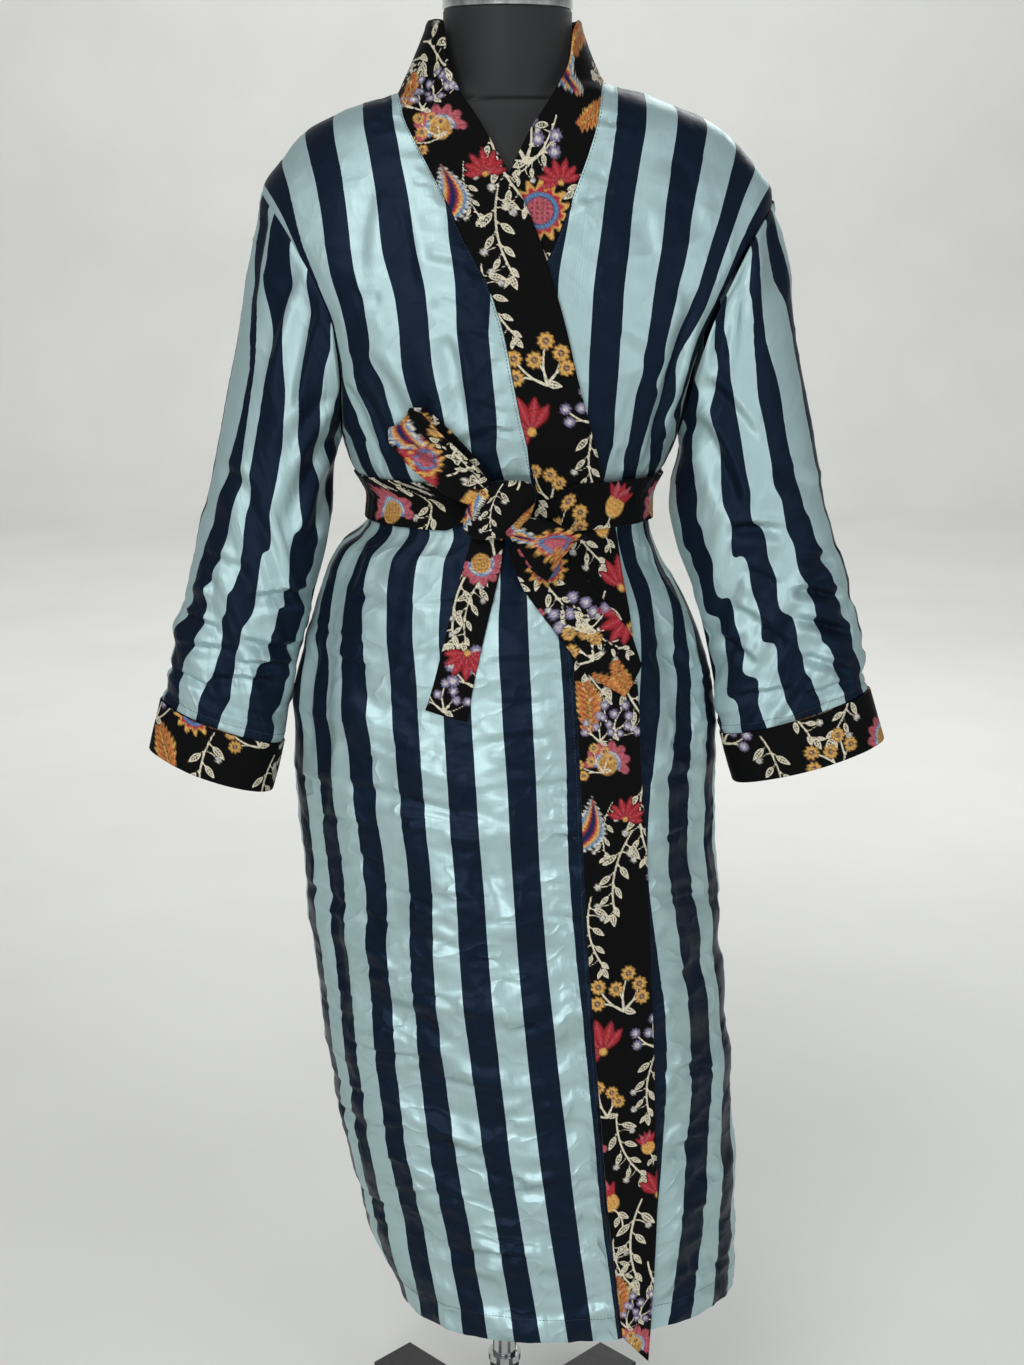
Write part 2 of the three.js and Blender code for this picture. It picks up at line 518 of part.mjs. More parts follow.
// The back, from the side seam on the wearer's right to the one on the left. Its top edge
// follows the shoulder, the back of the neck and the other shoulder.
const BACK = { shoulderColumns: 5, neckColumns: 10 };
function backBearing(x, z) {
  return Math.PI - bearingAt(robeRing, x, z);
}
function backTop() {
  const top = [];
  const tips = [robeRing(SHOULDER_TIP_RIGHT).left, robeRing(SHOULDER_TIP_LEFT).right];
  for (let c = 0; c < BACK.shoulderColumns; c += 1) {
    const x = mix(tips[0], BAND_RIGHT[0].seamX, c / BACK.shoulderColumns);
    top.push({ bearing: 3 * QUARTER, z: ridgeHeight(x, 'left'), ridge: true });
  }
  for (let c = 0; c <= BACK.neckColumns; c += 1) {
    const share = c / BACK.neckColumns;
    const z = mix(BAND_RIGHT[0].seamZ, BAND_LEFT[0].seamZ, share);
    top.push({ bearing: mix(3 * QUARTER, QUARTER, share), z, ridge: false });
  }
  for (let c = 1; c <= BACK.shoulderColumns; c += 1) {
    const x = mix(BAND_LEFT[0].seamX, tips[1], c / BACK.shoulderColumns);
    top.push({ bearing: QUARTER, z: ridgeHeight(x, 'right'), ridge: true });
  }
  return top;
}
const BACK_TOP = backTop();

function backPanel() {
  const columns = BACK_TOP.length - 1;
  const topX = BACK_TOP.map(({ bearing, z }) => ringPoint(robeRing, bearing, z).x);
  const underX = BACK_TOP.map((_, c) => {
    const bearing = mix(3 * QUARTER, QUARTER, c / columns);
    return ringPoint(robeRing, bearing, UNDERARM_Z).x;
  });
  const edgeOff = (side, r, c) => {
    const edge = armholePoint(side, r);
    return ringPoint(robeRing, edge.bearing, edge.z).x - mix(topX[c], underX[c], DROP[r]);
  };
  const grid = LEVELS.map((level, r) => BACK_TOP.map((start, c) => {
    let { bearing, z } = start;
    const share = c / columns;
    if (r >= UNDERARM_ROW) {
      z = level;
      bearing = mix(3 * QUARTER, QUARTER, share);
    } else if (r > 0) {
      const rightOff = edgeOff(SIDES.right, r, 0) * clamp(1 - 2 * share, 0, 1) ** 2;
      const leftOff = edgeOff(SIDES.left, r, columns) * clamp(2 * share - 1, 0, 1) ** 2;
      z = mix(start.z, UNDERARM_Z, DROP[r]);
      bearing = backBearing(mix(topX[c], underX[c], DROP[r]) + rightOff + leftOff, z);
    }
    if (r === 0 && start.ridge) bearing += share < 0.5 ? -SEAM_TURN : SEAM_TURN;
    if (r === 0 && !start.ridge) z -= SEAM;
    if (c === 0) bearing -= SEAM_TURN;
    if (c === columns) bearing += SEAM_TURN;
    return robePoint(bearing, z);
  }));
  return wall(grid, SATIN, { flip: true });
}

const FRONT_COLUMNS = 10;
add('front_right', frontPanel(SIDES.right, () => 0, FRONT_COLUMNS), SATIN_FINISH);
add('front_left', frontPanel(SIDES.left, underlapLift, FRONT_COLUMNS), SATIN_FINISH);
add('back', backPanel(), SATIN_FINISH);

// ---------------------------------------------------------------- front band
const BAND_COLUMNS = 3;
function frontBand(side, liftAt) {
  const grid = side.band.map((row) => {
    const line = [];
    for (let c = 0; c <= BAND_COLUMNS; c += 1) {
      const share = c / BAND_COLUMNS;
      const z = mix(row.seamZ, row.freeZ, share);
      let bearing = bearingAt(robeRing, mix(row.seamX, row.freeX, share), z);
      if (row === side.band[0]) bearing = side.sign * (QUARTER - 2 * SEAM_TURN);
      if (c === 0) bearing -= side.sign * SEAM_TURN;
      line.push(robePoint(bearing, z, liftAt(bearing, z) + BAND_PROUD));
    }
    return line;
  });
  return wall(grid, VELVET, { flip: side.sign > 0 });
}
add('band_right', frontBand(SIDES.right, () => 0), VELVET_FINISH);
add('band_left', frontBand(SIDES.left, underlapLift), VELVET_FINISH);

// The band round the back of the neck stands up between the two fronts' bands.
function neckBand() {
  const grid = [];
  const rows = 3;
  for (let r = 0; r <= rows; r += 1) {
    const line = [];
    for (let c = 0; c <= BACK.neckColumns; c += 1) {
      const share = c / BACK.neckColumns;
      const seam = mix(BAND_RIGHT[0].seamZ, BAND_LEFT[0].seamZ, share) + SEAM;
      const z = mix(BAND_RIGHT[0].freeZ, seam, r / rows);
      const trimmed = (share === 0 ? -1 : 0) + (share === 1 ? 1 : 0);
      const bearing = mix(3 * QUARTER, QUARTER, share) + trimmed * 2 * SEAM_TURN;
      line.push(robePoint(bearing, z, BAND_PROUD));
    }
    grid.push(line);
  }
  return wall(grid, VELVET, { flip: true });
}
add('band_neck', neckBand(), VELVET_FINISH);

// ---------------------------------------------------------------- sleeves and cuffs
const CUFF_AROUND = 24;
// Bearings round a sleeve's section: 0 outer side, a quarter turn front, half a turn inner side.
function sectionPoint(section, turn) {
  const out = (1 + Math.cos(turn)) / 2;
  return new THREE.Vector3(
    mix(section.inX, section.outX, out),
    -section.ahead - section.deep * Math.sin(turn),
    mix(section.inZ, section.outZ, out),
  );
}
const sectionMiddle = (section) => new THREE.Vector3(
  (section.inX + section.outX) / 2, -section.ahead, (section.inZ + section.outZ) / 2);

// The armhole seam as a loop of points: tip, down the front, underarm, up the back.
function armholeLoop(side) {
  const loop = [];
  const place = (bearing, z) => {
    const { point, normal } = robePoint(bearing, z);
    point.x += (side.sign * SEAM) / 2;
    loop.push({ point, normal });
  };
  for (let r = 0; r <= UNDERARM_ROW; r += 1) {
    const { bearing, z } = armholePoint(side, r);
    place(bearing, z);
  }
  for (let r = UNDERARM_ROW - 1; r > 0; r -= 1) {
    const { bearing, z } = armholePoint(side, r);
    place(Math.PI - bearing, z);
  }
  return loop;
}

// Turn round a section at which the armhole's points lie, spread by their distances.
function loopTurns(loop) {
  const half = UNDERARM_ROW;
  const spread = (points) => {
    const lengths = [0];
    points.slice(1).forEach((p, i) => lengths.push(lengths[i] + p.point.distanceTo(points[i].point)));
    return lengths.map((length) => length / lengths[lengths.length - 1]);
  };
  const front = spread(loop.slice(0, half + 1)).map((share) => share * Math.PI);
  const back = spread([...loop.slice(half), loop[0]]).map((share) => Math.PI + share * Math.PI);
  return [...front, ...back.slice(1, -1)];
}

const SLEEVE_EVEN = 0.625; // sections
const SLEEVE_SETTLE = 2.2; // the sleeve has its own section this many times before its end
function sleeve(side, sections) {
  const loop = armholeLoop(side);
  const turns = loopTurns(loop);
  // The armhole's own spacing gives way to an even one within the first section.
  const points = sections.map((section, s) => turns.map((turn, c) => {
    const share = s / (sections.length - 1);
    const even = (c / turns.length) * 2 * Math.PI;
    const here = mix(turn, even, smooth(s / SLEEVE_EVEN));
    const point = sectionPoint(section, here);
    const start = loop[c].point.clone().sub(sectionPoint(sections[0], turns[c]));
    return point.addScaledVector(start, 1 - smooth(share * SLEEVE_SETTLE));
  }));
  const grid = withNormals(points, { around: true, outwardFrom: (r) => sectionMiddle(sections[r]) });
  grid[0] = loop;
  return wall(grid, SATIN, { around: true, flip: side.sign > 0 });
}

function cuff(side, sections) {
  const points = sections.map((section) => {
    const ring = [];
    for (let c = 0; c < CUFF_AROUND; c += 1) {
      ring.push(sectionPoint(section, (c / CUFF_AROUND) * 2 * Math.PI));
    }
    return ring;
  });
  const grid = withNormals(points, { around: true, outwardFrom: (r) => sectionMiddle(sections[r]) });
  return wall(grid, VELVET, { around: true, flip: side.sign > 0 });
}
add('sleeve_right', sleeve(SIDES.right, SLEEVE_RIGHT), SATIN_FINISH);
add('sleeve_left', sleeve(SIDES.left, SLEEVE_LEFT), SATIN_FINISH);
add('cuff_right', cuff(SIDES.right, CUFF_RIGHT), VELVET_FINISH);
add('cuff_left', cuff(SIDES.left, CUFF_LEFT), VELVET_FINISH);

// ---------------------------------------------------------------- belt
const BELT_AROUND = 40;
const BELT_LIFT = 3.8; // outer face of the belt above the satin's face
function waistBelt() {
  const grid = [];
  for (const z of [BELT_TOP, (BELT_TOP + BELT_BOTTOM) / 2, BELT_BOTTOM]) {
    const ring = [];
    for (let c = 0; c < BELT_AROUND; c += 1) {
      ring.push(robePoint((c / BELT_AROUND) * 2 * Math.PI, z, BELT_LIFT));
    }
    grid.push(ring);
  }
  return wall(grid, VELVET, { around: true });
}
add('belt_waist', waistBelt(), VELVET_FINISH);

// A strip of the belt from its table: three points across its width, and STRIP_STEPS rows
// from each row of the table to the next.
const STRIP_STEPS = 2;
function strip(table) {
  const rows = table.map((row, order) => ({ ...row, order }));
  const columns = ['x', 'z', 'halfX', 'halfZ', 'off'];
  const [x, z, halfX, halfZ, off] = columns.map((name) => columnCurve(rows, 'order', name));
  const points = [];
  for (let i = 0; i <= (rows.length - 1) * STRIP_STEPS; i += 1) {
    const t = i / STRIP_STEPS;
    points.push([-1, 0, 1].map((across) => {
      const level = z(t) + across * halfZ(t);
      const bearing = bearingAt(robeRing, x(t) + across * halfX(t), level);
      return robePoint(bearing, level, off(t)).point;
    }));
  }
  return wall(withNormals(points), VELVET);
}
add('belt_loop_long', strip(LONG_LOOP), VELVET_FINISH);
add('belt_loop_short', strip(SHORT_LOOP), VELVET_FINISH);
add('belt_tail_right', strip(RIGHT_TAIL), VELVET_FINISH);
add('belt_tail_left', strip(LEFT_TAIL), VELVET_FINISH);

function knot() {
  const rings = 8;
  const around = 14;
  const positions = [];
  // It leans as the belt does.
  const middleY = (z) => -robeRing(z).front - BELT_LIFT - TOUCH - KNOT.deep / 2;
  for (let r = 1; r < rings; r += 1) {
    const tilt = (r / rings) * Math.PI;
    for (let c = 0; c < around; c += 1) {
      const turn = (c / around) * 2 * Math.PI;
      const round = Math.sin(tilt) ** 0.7;
      const z = KNOT.z + (KNOT.tall / 2) * Math.cos(tilt);
      positions.push(
        KNOT.x + (KNOT.wide / 2) * round * Math.cos(turn),
        middleY(z) + (KNOT.deep / 2) * round * Math.sin(turn),
        z,
      );
    }
  }
  const top = positions.length / 3;
  for (const z of [KNOT.z + KNOT.tall / 2, KNOT.z - KNOT.tall / 2]) positions.push(KNOT.x, middleY(z), z);
  const triangles = [];
  const at = (r, c) => r * around + (c % around);
  for (let c = 0; c < around; c += 1) {
    triangles.push(top, at(0, c), at(0, c + 1));
    triangles.push(top + 1, at(rings - 2, c + 1), at(rings - 2, c));
    for (let r = 0; r < rings - 2; r += 1) {
      triangles.push(at(r, c), at(r + 1, c), at(r + 1, c + 1));
      triangles.push(at(r, c), at(r + 1, c + 1), at(r, c + 1));
    }
  }
  return closedGeometry(positions, triangles);
}
add('belt_knot', knot(), VELVET_FINISH);

// ---------------------------------------------------------------- dress form
const TORSO_AROUND = 28;
function torso() {
  const levels = FORM_RINGS.map((row) => row.z);
  const positions = [];
  for (const z of levels) {
    for (let c = 0; c < TORSO_AROUND; c += 1) {
      positions.push(...ringPoint(formRing, (c / TORSO_AROUND) * 2 * Math.PI, z).toArray());
    }
  }
  const triangles = [];
  const at = (r, c) => r * TORSO_AROUND + (c % TORSO_AROUND);
  for (let r = 0; r < levels.length - 1; r += 1) {
    for (let c = 0; c < TORSO_AROUND; c += 1) {
      triangles.push(at(r, c), at(r + 1, c), at(r + 1, c + 1));
      triangles.push(at(r, c), at(r + 1, c + 1), at(r, c + 1));
    }
  }
  const last = levels.length - 1;
  for (let c = 1; c < TORSO_AROUND - 1; c += 1) {
    triangles.push(at(0, 0), at(0, c), at(0, c + 1));
    triangles.push(at(last, 0), at(last, c + 1), at(last, c));
  }
  return closedGeometry(positions, triangles);
}
add('form_torso', torso(), COVER_FINISH);

// Turned pieces: a profile of [radius, height] pairs, closed on the axis or on itself.
function turned(profile, segments = 24) {
  const points = profile.map(([radius, height]) => new THREE.Vector2(radius, height));
  const geometry = new THREE.LatheGeometry(points, segments);
  geometry.rotateX(Math.PI / 2);
  return geometry;
}
function ring(inner, outer, bottom, top) {
  return turned([[inner, bottom], [outer, bottom], [outer, top], [inner, top], [inner, bottom]]);
}
function rod(radius, bottom, top) {
  return turned([[0, bottom], [radius, bottom], [radius, top], [0, top]]);
}

function neckCap() {
  const bottom = NECK_TOP + TOUCH;
  const wallTop = bottom + CAP.height * 0.5;
  const profile = [[0, bottom], [CAP.radius, bottom], [CAP.radius, wallTop]];
  for (let i = 1; i < 5; i += 1) {
    const turn = (i / 5) * QUARTER;
    profile.push([CAP.radius * Math.cos(turn) ** 0.6, wallTop + (CAP.height / 2) * Math.sin(turn)]);
  }
  profile.push([0, bottom + CAP.height]);
  const cap = turned(profile);
  cap.translate(formRing(NECK_TOP).middle, 0, 0);
  return cap;
}
add('neck_cap', neckCap(), STEEL_FINISH);

// ---------------------------------------------------------------- pole and stand
const FLANGE_TOP = TORSO_BASE - TOUCH;
add('pole', turned([
  [0, POLE_END], [POLE_RADIUS, POLE_END], [POLE_RADIUS, FLANGE_TOP - FLANGE.height],
  [FLANGE.radius, FLANGE_TOP - FLANGE.height], [FLANGE.radius, FLANGE_TOP], [0, FLANGE_TOP],
]), STEEL_FINISH);
add('socket_tube', ring(SOCKET_BORE, SOCKET_RADIUS, HUB.top + TOUCH, SOCKET_TOP), BLACK_FINISH);
add('socket_rim', ring(SOCKET_BORE, RIM.radius, SOCKET_TOP + TOUCH, SOCKET_TOP + RIM.height), STEEL_FINISH);

function block(length, width, bottom, top, middleX, turn) {
  const geometry = new THREE.BoxGeometry(length, width, top - bottom);
  geometry.translate(middleX, 0, (bottom + top) / 2);
  geometry.rotateZ(turn);
  return geometry;
}
function hub() {
  const half = HUB.side / 2;
  const outline = new THREE.Shape([
    new THREE.Vector2(-half, -half), new THREE.Vector2(half, -half),
    new THREE.Vector2(half, half), new THREE.Vector2(-half, half),
  ]);
  outline.holes.push(new THREE.Path().absarc(0, 0, SOCKET_BORE, 0, 2 * Math.PI, true));
  const depth = HUB.top - HUB.bottom;
  const geometry = new THREE.ExtrudeGeometry(outline, { depth, bevelEnabled: false, curveSegments: 24 });
  geometry.translate(0, 0, HUB.bottom);
  geometry.rotateZ(QUARTER / 2);
  return geometry;
}
add('hub', hub(), BLACK_FINISH);
const plateTop = HUB.bottom - BASE_PLATE.gap;
add('base_plate', block(HUB.side, HUB.side, BASE_PLATE.bottom, plateTop, 0, QUARTER / 2), BLACK_FINISH);

for (let i = 0; i < 4; i += 1) {
  const turn = QUARTER / 2 + i * QUARTER;
  const start = HUB.side / 2 + TOUCH;
  const middle = (start + LEG.end) / 2;
  add(`leg_${i + 1}`, block(LEG.end - start, LEG.wide, LEG.bottom, LEG.top, middle, turn), BLACK_FINISH);
  const foot = rod(FOOT.radius, 0, LEG.bottom - TOUCH);
  foot.translate(FOOT.reach * Math.cos(turn), FOOT.reach * Math.sin(turn), 0);
  add(`foot_${i + 1}`, foot, RUBBER_FINISH);
  const bolt = turned([[0, 0], [BOLT.radius, 0], [BOLT.radius, BOLT.height], [0, BOLT.height]], 12);
  bolt.rotateY(QUARTER);
  bolt.translate(LEG.end + TOUCH, 0, (LEG.bottom + LEG.top) / 2);
  bolt.rotateZ(turn);
  add(`leg_bolt_${i + 1}`, bolt, STEEL_FINISH);
}

export default model;
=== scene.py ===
# %% [markdown]
# # A striped satin robe on a dress form
# The robe is cut from flat pieces: two fronts, a back, two sleeves, velvet cuffs, one long velvet
# band round the neck and down both front edges, and a velvet belt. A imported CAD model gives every
# piece its place. This lesson keeps that frame and gives the pieces the look of cloth: finer
# shells with creases, woven stripes, a printed pile and stitches. The hard stand keeps its CAD
# shapes, softened at the edges.

# %% Load the frame
import json
import math
import bpy
import numpy as np
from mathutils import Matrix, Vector

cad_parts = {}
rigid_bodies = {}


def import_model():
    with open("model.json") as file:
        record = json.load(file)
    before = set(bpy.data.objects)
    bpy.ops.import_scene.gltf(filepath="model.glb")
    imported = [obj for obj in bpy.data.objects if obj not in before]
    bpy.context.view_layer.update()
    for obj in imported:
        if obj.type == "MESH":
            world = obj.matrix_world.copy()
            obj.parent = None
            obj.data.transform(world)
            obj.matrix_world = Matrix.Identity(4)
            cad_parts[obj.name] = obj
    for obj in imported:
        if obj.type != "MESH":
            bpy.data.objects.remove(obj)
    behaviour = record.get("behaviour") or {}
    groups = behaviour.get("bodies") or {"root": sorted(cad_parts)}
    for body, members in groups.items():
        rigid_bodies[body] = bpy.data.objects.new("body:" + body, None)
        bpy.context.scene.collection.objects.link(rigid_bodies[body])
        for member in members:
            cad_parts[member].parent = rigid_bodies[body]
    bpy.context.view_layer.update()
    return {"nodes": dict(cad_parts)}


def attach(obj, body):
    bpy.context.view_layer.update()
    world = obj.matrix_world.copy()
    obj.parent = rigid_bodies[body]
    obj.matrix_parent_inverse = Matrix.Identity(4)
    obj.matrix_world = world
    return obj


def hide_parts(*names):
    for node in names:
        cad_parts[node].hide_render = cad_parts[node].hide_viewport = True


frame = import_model()

# %% [markdown]
# ## Camera
# The robe is seen from the front, from the height of its neck and looking slightly down. The
# camera comes first, so that every later step can be judged from the same place.

# %% Camera
CAMERA_AT = (0.008, -1.8, 1.34)  # metres
LOOKING_DOWN = 14.6  # degrees below the horizon
LENS = 49.98  # millimetres, on the usual 36 mm sensor's long side


def in_scene(name, data):
    obj = bpy.data.objects.new(name, data)
    bpy.context.scene.collection.objects.link(obj)
    return obj


camera = in_scene("camera", bpy.data.cameras.new("camera"))
camera.data.lens = LENS
camera.location = CAMERA_AT
camera.rotation_euler = (math.radians(90 - LOOKING_DOWN), 0, 0)
bpy.context.scene.camera = camera
print("camera", tuple(camera.location), "lens", camera.data.lens)

# %% [markdown]
# ## Tables of the robe's shape
# A garment on a form is round at every height, so its shape is kept as level rings, and the seams
# as lines on them. Each table names its columns and has a row for each ring or seam point, in
# millimetres. A smooth curve through each column gives the shape between the rows.

# %% Tables
def rows_of(text):
    """Rows of numbers: the end of a line or a semicolon ends a row."""
    return np.array([row.split() for row in text.replace("\n", ";").split(";") if row.strip()], float)


def table(columns, rows):
    rows = rows_of(rows) if isinstance(rows, str) else np.array(rows)
    return dict(zip(columns.split(), rows.T))


UNDERARM, BELT_TOP, WAIST, BELT_BOTTOM, HEM = 1115, 1083, 1060, 1038, 225  # heights
ROBE_RINGS = table("z left right front back round", """
    1487 -66 68 60 66 2; 1455 -80 80 63 72 2; 1434 -90 91 66 77 2.05; 1423 -96 124 68 81 2.1
    1417 -122 140 69 83 2.1; 1405 -149 174 72 87 2.15; 1392 -176 199 76 91 2.2; 1374 -195 218 82 95 2.2
    1338 -222 245 94 100 2.25; 1300 -230 250 106 108 2.3; 1255 -225 240 117 110 2.3
    1216 -205 222 121 108 2.3; 1180 -181 198 120 104 2.3; 1150 -165 180 116 100 2.3
    1115 -151 163 110 96 2.25; 1090 -143 152 104 92 2.2; 1060 -128 139 97 88 2.15
    1035 -130 139 98 89 2.15; 1008 -158 146 107 97 2.2; 954 -180 175 118 108 2.25
    900 -196 193 124 118 2.3; 850 -203 200 129 124 2.3; 777 -205 203 132 126 2.3
    665 -198 210 134 125 2.25; 557 -187 218 135 124 2.2; 440 -173 231 135 122 2.15
    346 -156 239 134 121 2.1; 150 -126 244 134 120 2.1""")
FORM_RINGS = table("z left right front back round", """
    1495 -54 62 57 58 2; 1440 -54 62 56 60 2; 1429 -60 69 55 62 2; 1420 -78 100 54 65 2.05
    1414.6 -121 139 53 67 2.1; 1402.6 -148 173 57 72 2.1; 1389.6 -173 194 62 77 2.15
    1371 -186 203 70 83 2.2; 1330 -189 203 84 91 2.2; 1290 -180 188 95 96 2.25; 1250 -166 174 105 98 2.3
    1210 -152 160 108 95 2.3; 1160 -140 146 103 89 2.25; 1115 -129 134 95 84 2.2
    1060 -115 119 85 78 2.15; 1020 -119 122 88 84 2.15; 960 -143 145 101 97 2.2
    900 -161 163 109 106 2.3; 850 -167 168 113 111 2.3; 795 -166 166 111 111 2.3""")
# Broad folds: bearing in degrees (0 front, 90 the wearer's left), where each starts and ends.
FOLDS = table("bearing drift top bottom spread depth", """
    -62 10 1030 560 13 -7; -36 12 1020 240 11 -4; 58 6 1030 420 12 -7; 84 -4 1010 200 12 5
    118 5 1030 240 14 -9; 152 8 1035 300 13 -8; 186 -5 1035 200 15 -9; 222 -8 1030 330 13 -8
    255 4 1020 200 13 -6; 162 4 1290 1085 16 5; 205 -4 1290 1085 16 5""")
BAND_ROWS = {"right": table("seamX seamZ freeX freeZ", """
    -96 1423 -66 1487; -92 1419 -53 1484; -88 1403 -49 1453; -79 1384 -38 1424; -68 1364 -24 1404
    -50 1331 2 1360; -32 1294 25 1316; -12 1256 42 1268; 2 1212 56 1220; 9 1176 65 1182; 15 1145 74 1149
    19 1127 79 1130; 22 1115 83 1117; 28 1085 91 1086; 35 1060 98 1060; 43 1035 104 1035; 53 996 111 996
    60 950 119 950; 66 890 125 890; 71 815 129 815; 75 730 136 730; 80 640 141 640; 87 550 145 550
    95 455 149 455; 103 360 152 360; 112 285 150 282; 119 225 146 193"""),
    "left": table("seamX seamZ freeX freeZ", """
    91 1434 68 1487; 88 1428 63 1476; 85 1407 59 1450; 81 1389 43 1420; 76 1373 24 1391; 63 1339 4 1352
    48 1300 -12 1316; 28 1256 -28 1268; 10 1212 -46 1220; -1 1176 -58 1182; -10 1145 -69 1149
    -15 1127 -75 1130; -19 1115 -79 1117; -26 1085 -86 1086; -32 1060 -88 1060; -38 1035 -94 1035
    -46 996 -104 996; -54 950 -112 950; -60 890 -119 890; -64 815 -122 815; -66 730 -123 730
    -66 640 -122 640; -65 550 -119 550; -62 455 -114 455; -58 360 -107 360; -54 285 -101 285
    -50 225 -96 225""")}
ARMHOLE_ROWS = {"right": table("z x", """
    1338 -222; 1310 -199; 1282 -181; 1255 -165; 1218 -151; 1173 -147; 1140 -149; 1115 -151"""),
    "left": table("z x", """
    1330 250; 1296 226; 1261 207; 1226 190; 1190 178; 1150 169; 1115 163""")}
TUBE_COLUMNS = "inX inZ outX outZ deep ahead"
SLEEVE_ROWS = {"right": table(TUBE_COLUMNS, """
    -151 1115 -222 1338 84 0; -156 1108 -232 1290 79 2; -158 1100 -241 1240 73 4
    -160 1090 -251 1190 67 7; -161 1075 -261 1140 62 10; -163 1050 -271 1092 58 14
    -169 1012 -283 1044 55 18; -181 968 -296 997 51 23; -194 920 -308 952 47 28; -205 871 -318 909 43 32
    -213 823 -329 867 40 36"""),
    "left": table(TUBE_COLUMNS, """
    163 1115 250 1330 84 0; 168 1108 261 1285 79 2; 168 1100 270 1235 73 4; 165 1090 279 1185 67 7
    160 1075 289 1136 62 10; 157 1050 299 1087 58 14; 165 1012 310 1040 55 18; 182 968 323 996 51 23
    194 922 335 956 47 28; 203 877 344 917 43 32; 209 832 351 877 40 36""")}
CUFF_ROWS = {"right": table(TUBE_COLUMNS, """
    -212 822.5 -330.5 866.5 41.5 36; -218 799 -336.5 843 42.5 37; -225 774 -343 818 43.5 38"""),
    "left": table(TUBE_COLUMNS, """
    208.5 831.5 352.5 876.5 41.5 36; 215 808 360 852 42.5 37; 222 784 368 827 43.5 38""")}
print("rings", len(ROBE_RINGS["z"]), "band rows", len(BAND_ROWS["right"]["seamZ"]))

# %% Curves through the tables
def mix(a, b, t):
    return a + (b - a) * t


def smooth(t):
    t = np.clip(t, 0, 1)
    return t * t * (3 - 2 * t)


def curve(at, value):
    """A smooth curve through the points that never overshoots them."""
    order = np.argsort(at)
    at, value = np.asarray(at, float)[order], np.asarray(value, float)[order]
    slope = np.diff(value) / np.diff(at)
    tangent = np.concatenate([slope[:1], 0 * slope[1:], slope[-1:]])
    product, total = slope[:-1] * slope[1:], slope[:-1] + slope[1:]
    tangent[1:-1] = np.where(product > 0, 2 * product / np.where(product > 0, total, 1), 0)

    def through(t):
        t = np.clip(t, at[0], at[-1])
        i = np.clip(np.searchsorted(at, t) - 1, 0, len(at) - 2)
        step = at[i + 1] - at[i]
        u = (t - at[i]) / step
        rise = value[i + 1] - value[i]
        bend = step * (tangent[i] * (u - 2 * u * u + u**3) + tangent[i + 1] * (u**3 - u * u))
        return value[i] + rise * (3 * u * u - 2 * u**3) + bend
    return through


def by_order(rows):
    return {name: curve(np.arange(len(column)), column) for name, column in rows.items()}


def ring_table(rows):
    """A function of the height that gives a ring's measures there."""
    columns = {name: curve(rows["z"], column) for name, column in rows.items() if name != "z"}

    def ring_at(z):
        ring = {name: through(z) for name, through in columns.items()}
        ring["middle"] = (ring["left"] + ring["right"]) / 2
        ring["reach"] = (ring["right"] - ring["left"]) / 2
        return ring
    return ring_at


robe_ring, form_ring = ring_table(ROBE_RINGS), ring_table(FORM_RINGS)
print("waist, mm across:", float(2 * robe_ring(WAIST)["reach"]))

# %% Points on the rings
QUARTER, WHOLE = math.pi / 2, 2 * math.pi  # turns


def ring_point(bearing, z, ring_at=robe_ring):
    ring = ring_at(z)
    power = 2 / ring["round"]
    across, ahead = np.sin(bearing), np.cos(bearing)
    x = ring["middle"] + np.sign(across) * np.abs(across) ** power * ring["reach"]
    deep = np.where(ahead > 0, ring["front"], ring["back"])
    return np.stack([x, -np.sign(ahead) * np.abs(ahead) ** power * deep, z + 0 * x], -1)


def ring_x(bearing, z):
    return ring_point(bearing, z)[..., 0]


def bearing_at(x, z):
    """Bearing of the robe's point with this x and height, on its front half."""
    ring = robe_ring(z)
    share = np.clip((x - ring["middle"]) / ring["reach"], -1, 1)
    return np.sign(share) * np.arcsin(np.abs(share) ** (ring["round"] / 2))


def unit(v):
    return v / np.maximum(np.linalg.norm(v, axis=-1, keepdims=True), 1e-9)


def ring_normal(b, z, ring_at=robe_ring):
    along = ring_point(b + 0.02, z, ring_at) - ring_point(b - 0.02, z, ring_at)
    up = ring_point(b, z + 1.5, ring_at) - ring_point(b, z - 1.5, ring_at)
    return unit(np.cross(along, up))


def degrees_from(b, bearing):
    """Degrees from a bearing to b, from -180 to 180."""
    return (np.degrees(b) - bearing + 180) % 360 - 180


def fold_depth(b, z):
    total = 0 * b
    for bearing, drift, top, bottom, spread, depth in zip(*FOLDS.values()):
        along = (top - z) / (top - bottom)
        away = degrees_from(b, bearing + drift * np.clip(along, 0, 1))
        fade = smooth(along * 5 + 0.2) * smooth((1 - along) * 2.2 + 0.1)
        total = total + depth * fade * np.exp(-(away / spread) ** 2)
    return total


def robe_point(b, z, lift=0.0):
    """A point of the robe with its broad folds, lifted off it, and the normal there."""
    n = ring_normal(b, z)
    return ring_point(b, z) + n * (lift + fold_depth(b, z))[..., None], n


print("front of the waist:", ring_point(np.array(0.0), WAIST).round(1))

# %% [markdown]
# ## Where each panel lies
# A front panel is a strip that starts at the band's seam and ends at the armhole, and lower down
# at the side seam. So a point of it has two numbers: its row, from the shoulder to the hem, and
# its share of the way from one seam to the other. The same two numbers place stripes and creases.

